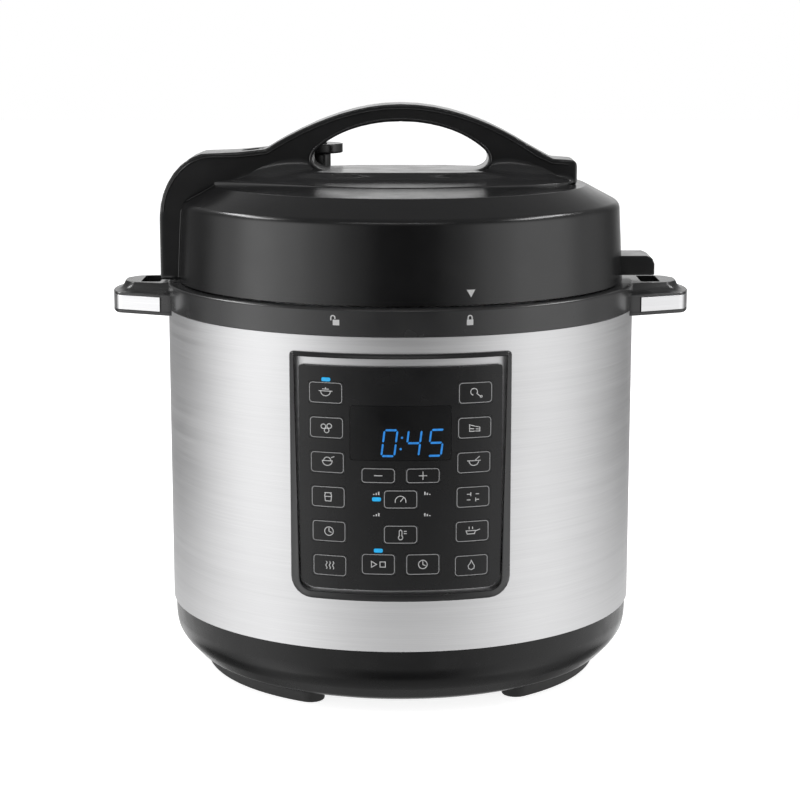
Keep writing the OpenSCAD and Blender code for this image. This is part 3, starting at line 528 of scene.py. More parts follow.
DIGIT_GLOW = Glow("digit_glow", (0.012, 0.24, 0.72), (0.75, 1.1))
CLEAR = Clear("clear_plastic", (0.9, 0.92, 0.93), (0.05, 0.12), 0.9)


# --------------------------------------------------------------------------------------
# Shapes
# --------------------------------------------------------------------------------------


def arc(centre: Point, radius: float, start: float, end: float, steps: int) -> List[Point]:
    """Points on an arc.

    Args:
        centre: The arc's centre.
        radius: Its radius.
        start: First angle in degrees.
        end: Last angle in degrees.
        steps: Number of chords.

    Returns:
        The points, both ends included.
    """
    turns = [math.radians(start + (end - start) * i / steps) for i in range(steps + 1)]
    return [(centre[0] + radius * math.cos(t), centre[1] + radius * math.sin(t)) for t in turns]


def bezier(a: Point, b: Point, c: Point, d: Point, steps: int) -> List[Point]:
    """Points on a cubic curve.

    Args:
        a: Start.
        b: First handle.
        c: Second handle.
        d: End.
        steps: Number of chords.

    Returns:
        The points, both ends included.
    """
    points = []
    for i in range(steps + 1):
        t = i / steps
        w = ((1 - t) ** 3, 3 * t * (1 - t) ** 2, 3 * t * t * (1 - t), t ** 3)
        points.append(tuple(w[0] * a[k] + w[1] * b[k] + w[2] * c[k] + w[3] * d[k] for k in (0, 1)))
    return points


def rounded(width: float, height: float, low: float, high: float,
            inset: float = 0.0) -> List[Point]:
    """A rounded rectangle about the origin, with points along its straight sides.

    Args:
        width: Size in x.
        height: Size in z.
        low: Radius of the lower corners.
        high: Radius of the upper corners.
        inset: How far the outline lies inside.

    Returns:
        The points, counter-clockwise, the same number for every inset.
    """
    steps, pitch = 6, 4.0
    x, z = width / 2, height / 2
    corners = [(x, -z, low, -90), (x, z, high, 0), (-x, z, high, 90), (-x, -z, low, 180)]
    points: List[Point] = []
    for cx, cz, radius, first in corners:
        centre = (math.copysign(abs(cx) - radius, cx), math.copysign(abs(cz) - radius, cz))
        points += arc(centre, max(radius - inset, 0.02), first, first + 90, steps)
    full: List[Point] = []
    sides = (height - low - high, width - 2 * high, height - low - high, width - 2 * low)
    for corner in range(4):
        own = points[corner * (steps + 1):(corner + 1) * (steps + 1)]
        after = points[(corner + 1) % 4 * (steps + 1)]
        full += own
        count = max(1, round(sides[corner] / pitch))
        full += [tuple(own[-1][k] + (after[k] - own[-1][k]) * i / count for k in (0, 1))
                 for i in range(1, count)]
    return full


def sides(points: Sequence[Point], width: float) -> Tuple[List[Point], List[Point], bool]:
    """The two sides of a line drawn with a pen.

    Args:
        points: The line's points; a loop ends where it starts.
        width: The pen's width.

    Returns:
        The left side, the right side, and whether the line is a loop.
    """
    line = [Vector(p) for p in points]
    closed = (line[0] - line[-1]).length < 1e-3
    if closed:
        line = line[:-1]
    left: List[Point] = []
    right: List[Point] = []
    for i, here in enumerate(line):
        before = after = None
        if i or closed:
            before = (here - line[i - 1]).normalized()
        if i + 1 < len(line) or closed:
            after = (line[(i + 1) % len(line)] - here).normalized()
        way = ((before or after) + (after or before)).normalized()
        side = Vector((-way.y, way.x))
        out = side * width / 2 / max(0.5, abs((after or before).dot(way)))
        tail = Vector((0, 0))
        if before is None or after is None:
            tail = (before or -after) * width / 2
        left.append(tuple(here + out + tail))
        right.append(tuple(here - out + tail))
    return left, right, closed


def along(line: Sequence[Sequence[float]], number: int, closed: bool) -> Vector:
    """The direction of a line at one of its points, from the point before to the one after.

    Args:
        line: The line's points.
        number: The point's number.
        closed: Whether the line is a loop.

    Returns:
        The direction, of length 1.
    """
    last = len(line) - 1
    before = line[number - 1] if closed else line[max(number - 1, 0)]
    after = line[(number + 1) % len(line)] if closed else line[min(number + 1, last)]
    return (Vector(after) - Vector(before)).normalized()


def spot(place: Vector) -> Tuple[float, ...]:
    """A place as a key, to a hundredth of a micrometre."""
    return tuple(round(c, 5) for c in place)


class Shape:
    """A piece while it is built, in millimetres."""

    def __init__(self) -> None:
        """Starts with nothing."""
        self.mesh = bmesh.new()

    def outline(self, points: Iterable[Sequence[float]],
                fillets: Optional[Dict[int, float]] = None, steps: int = 4) -> "Shape":
        """Adds a flat face with rounded corners.

        Args:
            points: Corners in x, y and z.
            fillets: Radius of each corner to round, by its number.
            steps: Chords in each rounding.

        Returns:
            The shape itself.
        """
        corners = [self.mesh.verts.new(p) for p in points]
        self.mesh.faces.new(corners)
        for number, radius in (fillets or {}).items():
            bmesh.ops.bevel(
                self.mesh, geom=[corners[number]], offset=radius, offset_type="OFFSET",
                affect="VERTICES", segments=steps, profile=0.5, material=-1,
            )
        return self

    def lathe(self, profile: Sequence[Point], steps: int,
              fillets: Optional[Dict[int, float]] = None, rounding: int = 3) -> "Shape":
        """Spins a closed profile round the axis.

        Args:
            profile: Corners as radius and height. An edge on the axis is left out.
            steps: Number of facets round the axis.
            fillets: Radius of each corner to round, by its number.
            rounding: Chords in each rounding.

        Returns:
            The shape itself.
        """
        self.outline([(r, 0.0, z) for r, z in profile], fillets, rounding)
        bmesh.ops.delete(self.mesh, geom=list(self.mesh.faces), context="FACES_ONLY")
        on_axis = [e for e in self.mesh.edges if all(abs(v.co.x) < 1e-6 for v in e.verts)]
        bmesh.ops.delete(self.mesh, geom=on_axis, context="EDGES")
        bmesh.ops.spin(
            self.mesh, geom=list(self.mesh.verts) + list(self.mesh.edges), cent=(0, 0, 0),
            axis=(0, 0, 1), angle=math.tau, steps=steps, use_merge=True, use_duplicate=False,
        )
        bmesh.ops.remove_doubles(self.mesh, verts=self.mesh.verts, dist=1e-4)
        return self

    def plate(self, corners: Sequence[Point], low: float, high: float,
              fillets: Optional[Dict[int, float]] = None) -> "Shape":
        """Extrudes a plan upwards.

        Args:
            corners: Corners of the plan in x and y.
            low: Height of its underside.
            high: Height of its top.
            fillets: Radius of each corner to round, by its number.

        Returns:
            The shape itself.
        """
        before = set(self.mesh.faces)
        self.outline([(x, y, low) for x, y in corners], fillets, 5)
        base = [f for f in self.mesh.faces if f not in before]
        grown = bmesh.ops.extrude_face_region(self.mesh, geom=base, use_keep_orig=True)
        verts = [g for g in grown["geom"] if isinstance(g, bmesh.types.BMVert)]
        bmesh.ops.translate(self.mesh, vec=(0, 0, high - low), verts=verts)
        bmesh.ops.recalc_face_normals(self.mesh, faces=list(self.mesh.faces))
        return self

    def loft(self, rings: Sequence[Sequence[Sequence[float]]], closed: bool = False) -> "Shape":
        """Joins rings of points with faces.

        Args:
            rings: Rings with the same number of points, from one end to the other.
            closed: Whether the last ring joins the first; otherwise both ends are capped.

        Returns:
            The shape itself.
        """
        verts = [self.mesh.verts.new(p) for p in rings[0]]
        edges = [self.mesh.edges.new((v, verts[i - 1])) for i, v in enumerate(verts)]
        first = verts
        for ring in list(rings[1:]) + ([rings[0]] if closed else []):
            grown = bmesh.ops.extrude_edge_only(self.mesh, edges=edges)["geom"]
            fresh = {spot(g.co): g for g in grown if isinstance(g, bmesh.types.BMVert)}
            edges = [g for g in grown if isinstance(g, bmesh.types.BMEdge)
                     and all(v in fresh.values() for v in g.verts)]
            verts = [fresh[spot(v.co)] for v in verts]
            for vert, point in zip(verts, ring):
                vert.co = point
        if closed:
            bmesh.ops.remove_doubles(self.mesh, verts=first + verts, dist=1e-4)
        else:
            self.mesh.faces.new(first)
            self.mesh.faces.new(verts)
        bmesh.ops.recalc_face_normals(self.mesh, faces=list(self.mesh.faces))
        return self

    def sheet(self, loops: Sequence[Sequence[Point]], depth: float,
              thickness: float) -> "Shape":
        """Makes a panel sheet with holes, flat in x and z.

        Args:
            loops: The outline, then the holes, as x and z.
            depth: How far its front lies outside the wrap.
            thickness: How thick it is.

        Returns:
            The shape itself.
        """
        edges = []
        for loop in loops:
            verts = [self.mesh.verts.new((x, -depth, z)) for x, z in loop]
            edges += [self.mesh.edges.new((v, verts[i - 1])) for i, v in enumerate(verts)]
        bmesh.ops.triangle_fill(self.mesh, use_beauty=True, use_dissolve=False, edges=edges)
        self.thicken(thickness)
        return self

    def thicken(self, thickness: float) -> "Shape":
        """Extrudes flat faces towards +Y.

        Args:
            thickness: How far.

        Returns:
            The shape itself.
        """
        front = list(self.mesh.faces)
        grown = bmesh.ops.extrude_face_region(self.mesh, geom=front, use_keep_orig=True)
        verts = [g for g in grown["geom"] if isinstance(g, bmesh.types.BMVert)]
        bmesh.ops.translate(self.mesh, vec=(0, thickness, 0), verts=verts)
        bmesh.ops.recalc_face_normals(self.mesh, faces=list(self.mesh.faces))
        return self

    def pen(self, points: Sequence[Point], width: float, place: Sequence[float],
            depth: float) -> "Shape":
        """Draws a line with a pen on the wrap's front.

        Args:
            points: The line's points as x and z; a loop ends where it starts.
            width: The pen's width.
            place: Where the line's origin lies, as x and z.
            depth: How far the print's face lies outside the wrap.

        Returns:
            The shape itself.
        """
        left, right, closed = sides(points, width)
        made = Shape()
        if closed:
            rings = [[(x + place[0], -d, z + place[1]) for x, z in side] for side, d in
                     ((left, depth), (right, depth), (right, depth - PRINT), (left, depth - PRINT))]
            made.loft(rings, closed=True)
        else:
            made.outline([(x + place[0], -depth, z + place[1]) for x, z in left + right[::-1]])
            made.thicken(PRINT)
        return self.join(made)

    def slices(self, pitch: float) -> "Shape":
        """Cuts the faces along planes of constant x, so that they can bend.

        Args:
            pitch: The planes' distance.

        Returns:
            The shape itself.
        """
        reach = [v.co.x for v in self.mesh.verts]
        first = math.ceil(min(reach) / pitch + 0.01)
        for step in range(first, math.floor(max(reach) / pitch - 0.01) + 1):
            self.slice((step * pitch, 0, 0), (1, 0, 0))
        return self

    def wrapped(self, radius: float = WRAP_R) -> "Shape":
        """Bends the shape, flat in x and z, round the cooker's front."""
        return self.bend(lambda v: (v.x, -math.sqrt((radius - v.y) ** 2 - v.x ** 2), v.z))

    def refined(self, voxel: float, smooth: int) -> "Shape":
        """Rebuilds the shape as one skin with softly rounded edges.

        Args:
            voxel: Size of the skin's cells in millimetres.
            smooth: Rounds of smoothing.

        Returns:
            The shape itself.
        """
        def steps(piece: bpy.types.Object) -> None:
            """Adds the modifiers.

            Args:
                piece: The passing object.
            """
            remesh = piece.modifiers.new("skin", "REMESH")
            remesh.mode = "VOXEL"
            remesh.voxel_size = voxel
            ease = piece.modifiers.new("ease", "SMOOTH")
            ease.factor, ease.iterations = 0.5, smooth
        return self.evaluated(steps)

    def cut(self, other: "Shape") -> "Shape":
        """Takes another shape away from this one.

        Args:
            other: The other shape, which is used up.

        Returns:
            The shape itself.
        """
        tool_data = bpy.data.meshes.new("cutter")
        other.mesh.to_mesh(tool_data)
        other.mesh.free()
        tool = bpy.data.objects.new("cutter", tool_data)
        bpy.context.scene.collection.objects.link(tool)

        def steps(piece: bpy.types.Object) -> None:
            """Adds the modifier."""
            away = piece.modifiers.new("cut", "BOOLEAN")
            away.operation, away.solver, away.object = "DIFFERENCE", "EXACT", tool
        self.evaluated(steps)
        bpy.data.objects.remove(tool)
        bpy.data.meshes.remove(tool_data)
        return self

    def evaluated(self, steps: Callable[[bpy.types.Object], None]) -> "Shape":
        """Runs modifiers on the shape and takes their result.

        Args:
            steps: Adds the modifiers to a passing object.

        Returns:
            The shape itself.
        """
        data = bpy.data.meshes.new("passing")
        self.mesh.to_mesh(data)
        piece = bpy.data.objects.new("passing", data)
        bpy.context.scene.collection.objects.link(piece)
        steps(piece)
        bpy.context.view_layer.update()
        done = piece.evaluated_get(bpy.context.evaluated_depsgraph_get())
        self.mesh.clear()
        self.mesh.from_mesh(done.to_mesh())
        done.to_mesh_clear()
        bpy.data.objects.remove(piece)
        bpy.data.meshes.remove(data)
        return self

    def flatten(self, angle: float) -> "Shape":
        """Joins the triangles of flat faces into whole faces.

        Args:
            angle: Turn in degrees up to which faces count as one.

        Returns:
            The shape itself.
        """
        bmesh.ops.dissolve_limit(
            self.mesh, angle_limit=math.radians(angle), use_dissolve_boundaries=False,
            verts=self.mesh.verts, edges=self.mesh.edges,
        )
        return self

    def soften(self, radius: float, segments: int, angle: float = 30.0,
               chosen: Optional[Callable[[bmesh.types.BMEdge], bool]] = None) -> "Shape":
        """Rounds the edges that turn by more than an angle.

        Args:
            radius: The rounding's offset.
            segments: Faces across the rounding.
            angle: Least turn in degrees.
            chosen: Test that picks among those edges.

        Returns:
            The shape itself.
        """
        turn = math.radians(angle)
        edges = [
            e for e in self.mesh.edges
            if len(e.link_faces) == 2 and e.calc_face_angle(0.0) > turn
            and (chosen is None or chosen(e))
        ]
        bmesh.ops.bevel(
            self.mesh, geom=edges, offset=radius, offset_type="OFFSET", affect="EDGES",
            segments=segments, profile=0.5, material=-1, clamp_overlap=True,
        )
        return self

    def slice(self, origin: Sequence[float], normal: Sequence[float],
              drop: bool = False) -> "Shape":
        """Cuts the shape's faces along a plane.

        Args:
            origin: A point of the plane.
            normal: The plane's direction.
            drop: Whether what lies on the normal's side is dropped.

        Returns:
            The shape itself.
        """
        bmesh.ops.bisect_plane(
            self.mesh, geom=list(self.mesh.verts) + list(self.mesh.edges) + list(self.mesh.faces),
            plane_co=origin, plane_no=normal, clear_outer=drop, dist=1e-5,
        )
        return self

    def turn(self, degrees: float) -> "Shape":
        """Turns the whole shape round the cooker's axis.

        Args:
            degrees: The angle.

        Returns:
            The shape itself.
        """
        matrix = Matrix.Rotation(math.radians(degrees), 3, "Z")
        bmesh.ops.rotate(self.mesh, cent=(0, 0, 0), matrix=matrix, verts=self.mesh.verts)
        return self

    def bend(self, place: Callable[[Vector], Sequence[float]]) -> "Shape":
        """Moves every vertex by a rule.

        Args:
            place: Gives a vertex's new place from its old one.

        Returns:
            The shape itself.
        """
        for vert in self.mesh.verts:
            vert.co = place(vert.co)
        return self

    def join(self, other: "Shape") -> "Shape":
        """Takes in another shape.

        Args:
            other: The other shape, which is used up.

        Returns:
            The shape itself.
        """
        spare = bpy.data.meshes.new("spare")
        other.mesh.to_mesh(spare)
        other.mesh.free()
        self.mesh.from_mesh(spare)
        bpy.data.meshes.remove(spare)
        return self

    def take(self, node: str) -> "Shape":
        """Takes in a merged copy of a frame node's mesh, in millimetres.

        Args:
            node: The node's name.

        Returns:
            The shape itself.
        """
        self.mesh.from_mesh(frame["nodes"][node].data)
        bmesh.ops.remove_doubles(self.mesh, verts=self.mesh.verts, dist=1e-6)
        bmesh.ops.scale(self.mesh, vec=(1 / MM,) * 3, verts=self.mesh.verts)
        return self

    def settle(self, name: str, body: Union[Body, str], slot: Slot, finish: Finish,
               crease: float = 35.0, replaces: Sequence[str] = (), weighted: bool = True,
               recalculate: bool = True) -> bpy.types.Object:
        """Turns the shape into a finished piece in metres.

        Args:
            name: The piece's name.
            body: The body it rides on, or that body's name.
            slot: The record's material slot; not used.
            finish: Its finish.
            crease: Turn in degrees above which an edge shades sharp.
            replaces: Frame nodes that it stands for.
            weighted: Whether large faces lead the shading.
            recalculate: Whether normals are worked out anew.

        Returns:
            The piece.
        """
        if recalculate:
            bmesh.ops.remove_doubles(self.mesh, verts=self.mesh.verts, dist=1e-4)
            bmesh.ops.dissolve_degenerate(self.mesh, edges=self.mesh.edges, dist=1e-4)
            bmesh.ops.recalc_face_normals(self.mesh, faces=self.mesh.faces)
        bmesh.ops.scale(self.mesh, vec=(MM,) * 3, verts=self.mesh.verts)
        limit = math.radians(crease)
        for edge in self.mesh.edges:
            edge.smooth = len(edge.link_faces) != 2 or edge.calc_face_angle(0.0) < limit
        for face in self.mesh.faces:
            face.smooth = True
        data = bpy.data.meshes.new(name)
        self.mesh.to_mesh(data)
        self.mesh.free()
        piece = bpy.data.objects.new(name, data)
        bpy.context.scene.collection.objects.link(piece)
        data.materials.append(finish.material())
        if weighted:
            modifier = piece.modifiers.new("weighted", "WEIGHTED_NORMAL")
            modifier.keep_sharp = True
        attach(piece, body.value if isinstance(body, Body) else body)
        if replaces:
            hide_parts(*replaces)
        LOG.info("%s: %d faces", name, len(data.polygons))
        return piece


# --------------------------------------------------------------------------------------
# Housing
# --------------------------------------------------------------------------------------


@dataclass
class Housing:
    """Feet, base cover, steel wrap, top band and side handles."""

    wrap_r: float = WRAP_R
    wrap_in_r: float = 132.4
    wrap_low: float = 38.7
    wrap_high: float = 207.6
    foot_angle: float = -172.9
    foot_sweep: float = 55.0
    foot_inner: float = 98.0
    foot_outer: float = 113.4
    foot_flare: float = 0.0028
    steps: int = 192

    def build(self) -> None:
        """Builds every piece of the housing's outside."""
        self.base()
        self.feet()
        self.wrap()
        self.band()
        padlock(15.65, False, "padlock_closed")
        padlock(-14.5, True, "padlock_open")

    def base(self) -> None:
        """Builds the base cover with its rounded lower edge."""
        profile = [(60, 6), (106, 6), (112, 6.5), (116, 7.1), (119.8, 8.8), (128.6, 18.2),
                   (131.4, 24.5), (131.9, 38.4), (131.3, 38.4), (131.3, 44.7), (129.1, 44.7),
                   (129.1, 26), (114, 11), (60, 9)]
        shape = Shape().lathe(profile, self.steps, {1: 1.0, 4: 1.6, 5: 4.0, 6: 4.5, 7: 0.3}, 5)
        shape.settle("base_shell", Body.HOUSING, Slot.PLASTIC, BASE_BLACK_PAINTED_SHADE,
                     replaces=["base_cover"])

    def feet(self) -> None:
        """Builds the three crescent feet."""
        shape = Shape()
        for i in range(3):
            first, inner, outer = self.foot_angle + 120 * i, self.foot_inner, self.foot_outer
            middle, cap = (inner + outer) / 2, (outer - inner) / 2
            last = first + self.foot_sweep
            plan = arc((0, 0), outer, first, last, 24)
            end, start = (arc((0, 0), middle, t, t + 1, 1)[0] for t in (last, first))
            plan += arc(end, cap, last, last + 180, 10)[1:-1]
            plan += arc((0, 0), inner, last, first, 24)
            plan += arc(start, cap, first + 180, first + 360, 10)[1:-1]
            foot = Shape().plate(plan, 0.0, 8.2)
            foot.bend(self.flared)
            foot.soften(1.2, 3, 50.0)
            shape.join(foot)
        shape.settle("feet_rubber", Body.HOUSING, Slot.FOOT, FOOT_RUBBER, crease=50,
                     replaces=["feet"])

    def flared(self, place: Vector) -> Sequence[float]:
        """Widens a foot's plan with its height."""
        grown = 1 + self.foot_flare * place.z
        return (place.x * grown, place.y * grown, place.z)

    def wrap(self) -> None:
        """Builds the brushed steel wrap."""
        profile = [(self.wrap_in_r, self.wrap_low), (self.wrap_r, self.wrap_low),
                   (self.wrap_r, self.wrap_high), (self.wrap_in_r, self.wrap_high)]
        shape = Shape().lathe(profile, self.steps, {1: 0.25, 2: 0.25})
        shape.settle("steel_shell", Body.HOUSING, Slot.BRUSHED, STEEL,
                     replaces=["steel_wrap"])

    def band(self) -> None:
        """Builds the top band's ring."""
        profile = [(116, 198), (132.1, 198), (132.1, 207.6), (BAND_R, 207.6), (BAND_R, 221.1),
                   (132.4, 222.1), (124.2, 222.1), (124.2, 219.7), (129.6, 219.7),
                   (129.6, 201.8), (116, 201.8)]
        shape = Shape().lathe(profile, self.steps, {3: 0.4, 4: 0.5, 5: 0.5, 6: 0.6})
        shape.settle("band_ring", Body.HOUSING, Slot.PLASTIC, BAND_BLACK, replaces=["top_band"])
        for side, name in ((1, "right"), (-1, "left")):
            self.side_handle(side, name)

    def handle_ring(self, share: float, inset: float, z: float) -> List[Sequence[float]]:
        """Plan of a side handle on +X.

        Args:
            share: 0 at the foot of the handle, 1 at its plateau.
            inset: How far the plan lies inside.
            z: Its height.

        Returns:
            The plan's points.
        """
        half, out = 34 - 12 * share, 164.8 - 7 * share
        corner, bow, lean = 7.0, 55.0, 18.1
        middle = 14.9 - 6 * share
        near = [(124.0, -half + inset), (131.0, -half + inset)]
        centre = out - bow + (bow - corner) * math.cos(math.radians(lean))
        tips = arc((centre, -middle), corner - inset, -70, -lean, 6)
        reach = middle + corner * math.sin(math.radians(lean))
        for i in range(1, 6):
            y = reach * (i / 3 - 1)
            tips.append((out - inset - bow + math.sqrt(bow ** 2 - y ** 2), y))
        tips += arc((centre, middle), corner - inset, lean, 70, 6)
        far = [(131.0, half - inset), (124.0, half - inset)]
        return [(x, y, z) for x, y in near + tips + far]

    def side_handle(self, side: int, name: str) -> None:
        """Builds a side handle with its slot, and its steel trim.

        Args:
            side: 1 for the one on +X, -1 for the one on -X.
            name: Which one it is.
        """
        trim_low, trim_high, wall = 206.4, 215.0, 0.8
        cove = [(0.0, 0.0, 215.9), (0.0, 0.45, 216.35), (0.1, 0.7, 216.45)]
        cove += [(share, 0.7 * (1 - share), z) for share, z in
                 ((0.22, 216.6), (0.42, 216.95), (0.6, 217.6), (0.75, 218.5), (0.87, 219.7),
                  (0.94, 220.8), (0.99, 221.35), (1.08, 221.5))]
        foot = [(0, 0.5, 204.6), (0, 0.0, 205.1), (0, 0.0, trim_low), (0, wall, trim_low),
                (0, wall, trim_high), (0, 0.0, trim_high)]
        block = Shape().loft([self.handle_ring(*step) for step in foot + cove])
        slot = Shape().plate([(137, -14), (148, -14), (148, 14), (137, 14)], 200.0, 226.0,
                             {0: 1.5, 1: 1.5, 2: 1.5, 3: 1.5})
        block.cut(slot)
        block.turn(0 if side > 0 else 180)
        block.settle(f"side_handle_{name}", Body.HOUSING, Slot.PLASTIC, BAND_BLACK, crease=28)
        low, high, back = trim_low + 0.1, trim_high - 0.1, wall - 0.05
        section = ((0.25, low), (0, low + 0.25), (0, high - 0.25), (0.25, high), (back, high),
                   (back, low))
        trim = Shape().loft([self.handle_ring(0, inset, z) for inset, z in section], closed=True)
        trim.slice((135.5, 0, 0), (-1, 0, 0), drop=True)
        rim = [e for e in trim.mesh.edges if e.is_boundary]
        bmesh.ops.holes_fill(trim.mesh, edges=rim, sides=0)
        trim.turn(0 if side > 0 else 180)
        trim.settle(f"handle_trim_{name}", Body.HOUSING, Slot.BRUSHED, TRIM_STEEL,
                    replaces=["handle_trims"] if side > 0 else [])


@dataclass(frozen=True)
class Key:
    """A touch key of the panel, and the strokes of its sign."""

    name: str
    x: float
    z: float
    height: float
    sign: Sequence[Sequence[Point]]
    width: float = 18.0


def padlock(azimuth: float, is_open: bool, name: str) -> None:
    """Prints a small padlock on the band.

    Args:
        azimuth: Its place round the band, in degrees.
        is_open: Whether its shackle is open.
        name: The piece's name.
    """
    shape = Shape()
    aside = 1.7
    body = [(-1.75, -2.6), (1.75, -2.6), (1.75, 0.3), (-1.75, 0.3)]
    shape.outline([(x, -RELIEF, z + BAND_MARK_Z) for x, z in body])
    shape.thicken(PRINT)
    shackle = [(1.1, 0.2)] + arc((0, 1.35), 1.1, 0, 180, 8) + [(-1.1, 1.0 if is_open else 0.2)]
    if is_open:
        shackle = [(-x - aside, z) for x, z in shackle]
    shape.pen(shackle, 0.6, (0.0, BAND_MARK_Z), RELIEF)
    shape.slices(1.5).wrapped(BAND_R).turn(azimuth)
    shape.settle(name, Body.HOUSING, Slot.PLASTIC, INK_WHITE, weighted=False)


@dataclass
class ControlPanel:
    """Bezel, film, keys with their signs, lamps and display."""

    film: float = 2.0
    key_back: float = 1.25
    bezel_z: float = 132.7
    film_z: float = 132.5
    window_z: float = 157.4
    digits_z: float = 152.3
    key_pen: float = 0.36
    sign_pen: float = 0.42
    corner: float = 1.4
    line_corner: float = 2.1

    def keys(self) -> List[Key]:
        """Lists the keys in their places.

        Returns:
            The keys, the left and the right column first.
        """
        bowl = [arc((0, 0.9), 2.6, 180, 360, 8) + [(-2.6, 0.9)]]
        wave = [[(o + 0.35 * math.sin(i * 1.3), 2.0 - 0.55 * i) for i in range(8)]
                for o in (-1.8, 0, 1.8)]
        dial = [arc((0, 0), 2.3, 0, 360, 16), [(0, 1.5), (0, 0), (1.2, -0.6)]]
        left = [
            bowl + [[(-3.4, 0.9), (3.4, 0.9)], [(-1.6, 1.9), (1.6, 1.9)], [(0, 1.9), (0, 2.6)]],
            [arc((-1.6, 0.6), 1.25, 0, 360, 12), arc((1.5, 0.9), 1.25, 0, 360, 12),
             arc((0.1, -1.5), 1.25, 0, 360, 12)],
            bowl + [arc((0, 0.9), 1.9, 0, 180, 8), [(2.2, 2.7), (3.6, 3.2)]],
            [[(-1.7, 2.2), (1.7, 2.2)], [(-1.3, 2.2), (-1.8, 0.9), (-1.5, -2.2), (1.5, -2.2),
                                         (1.8, 0.9), (1.3, 2.2)], [(-1.7, 0.2), (1.7, 0.2)]],
            dial,
            wave,
        ]
        right = [
            [arc((-0.8, 0.5), 1.8, -30, 250, 12), [(0.7, -0.5), (2.6, -2.0)],
             arc((3.0, -2.1), 0.5, 0, 360, 8)],
            [[(-2.7, -1.9), (2.7, -1.9), (2.7, 0.1), (-2.7, 1.6), (-2.7, -1.9)],
             [(-2.7, -0.4), (2.7, -0.9)]],
            bowl + [[(0.8, 1.2), (2.9, 3.0)], [(-3.4, 0.9), (3.4, 0.9)]],
            [[(-3, 1.5), (3, 1.5)], [(-3, -1.5), (3, -1.5)], [(-1.2, 2.3), (-1.2, 0.7)],
             [(1.4, -0.7), (1.4, -2.3)]],
            [[(-3.2, 0.3), (-2.6, -1.4), (1.2, -1.4), (1.8, 0.3), (-3.2, 0.3)],
             [(1.7, 0.0), (4.0, 0.8)], [(-1.6, 1.3), (-1.6, 2.3)], [(0.2, 1.3), (0.2, 2.3)]],
            [[(0, 2.7), (-0.6, 1.2), (-1.7, -0.2), (-1.4, -1.7), (0, -2.4), (1.4, -1.7),
              (1.6, -0.3), (0.9, 0.9), (0.5, 1.7), (0, 2.7)]],
        ]
        listed = []
        for i in range(6):
            x, z = 38.2 + 1.7 * (0.5 - i / 5), 178 - 18.5 * i
            listed.append(Key(f"key_left_{i + 1}", -x, z, 11.6, left[i]))
            listed.append(Key(f"key_right_{i + 1}", x, z, 11.6, right[i]))
        bar = [(-2.0, 0), (2.0, 0)]
        listed += [
            Key("key_minus", -11.7, 134.9, 8.4, [bar]),
            Key("key_plus", 11.7, 134.9, 8.4, [bar, [(0, -2.0), (0, 2.0)]]),
            Key("key_pressure", 0, 122.3, 10.2,
                [arc((0, -1.0), 2.8, -10, 190, 12), [(0, -1.0), (1.5, 0.9)]]),
            Key("key_temperature", 0, 103.4, 10.2,
                [[(-0.7, -0.7), (-0.7, 2.0), (0, 2.6), (0.7, 2.0), (0.7, -0.7)],
                 arc((0, -1.6), 1.15, 120, 420, 12), [(1.9, 1.8), (3.0, 1.8)],
                 [(1.9, 0.6), (3.0, 0.6)]]),
            Key("key_start_stop", -11.7, 87.2, 11.6,
                [[(-3.6, -1.6), (-3.6, 1.6), (-0.9, 0), (-3.6, -1.6)],
                 [(0.9, -1.4), (0.9, 1.4), (3.7, 1.4), (3.7, -1.4), (0.9, -1.4)]]),
            Key("key_timer", 11.7, 87.2, 11.6, dial),
        ]
        return listed

    def build(self) -> None:
        """Builds every piece of the panel."""
        self.bezel()
        self.film_sheet()
        for key in self.keys():
            self.key(key)
        self.window()
        self.digits()
        self.lamps()
        self.levels()

    def ring(self, inset: float, depth: float) -> List[Sequence[float]]:
        """One loop round the bezel.

        Args:
            inset: How far it lies inside the bezel's outline.
            depth: How far it stands outside the wrap.

        Returns:
            The loop's points.
        """
        plan = rounded(116.5, 132.2, 11.0, 2.2, inset)
        return [(x, -depth, z + self.bezel_z) for x, z in plan]

    def bezel(self) -> None:
        """Builds the raised frame: a rounded outer edge, and a slope down to the film."""
        section = ((0.0, -1.5), (0.0, 0.7), (0.12, 1.2), (0.45, 1.7), (1.0, 2.15), (1.9, 2.6),
                   (3.0, 3.0), (3.9, 3.25), (4.3, 3.3), (4.55, 3.15), (4.65, 2.9), (4.7, -1.5))
        rings = [self.ring(inset, depth) for inset, depth in section]
        shape = Shape().loft(rings, closed=True).wrapped()
        shape.settle("panel_bezel", Body.HOUSING, Slot.BEZEL, BEZEL_BLACK, crease=60,
                     replaces=["control_bezel"])

    def film_sheet(self) -> None:
        """Builds the panel film with its holes."""
        loops = [[(x, z + self.film_z) for x, z in rounded(106.6, 119.1, 8.0, 1.4)]]
        for key in self.keys():
            plan = rounded(key.width + 0.3, key.height + 0.3, self.corner, self.corner)
            loops.append([(x + key.x, z + key.z) for x, z in plan])
        loops.append([(x, z + self.window_z) for x, z in rounded(53.1, 29.1, 1.5, 1.5)])
        for x, z in self.lamp_places():
            loops.append([(u + x, w + z) for u, w in rounded(4.9, 2.3, 0.9, 0.9)])
        shape = Shape().sheet(loops, self.film, 0.8).slices(3.0).wrapped()
        shape.settle("film", Body.HOUSING, Slot.FILM, FILM_BLACK, crease=40,
                     replaces=["panel_film"])

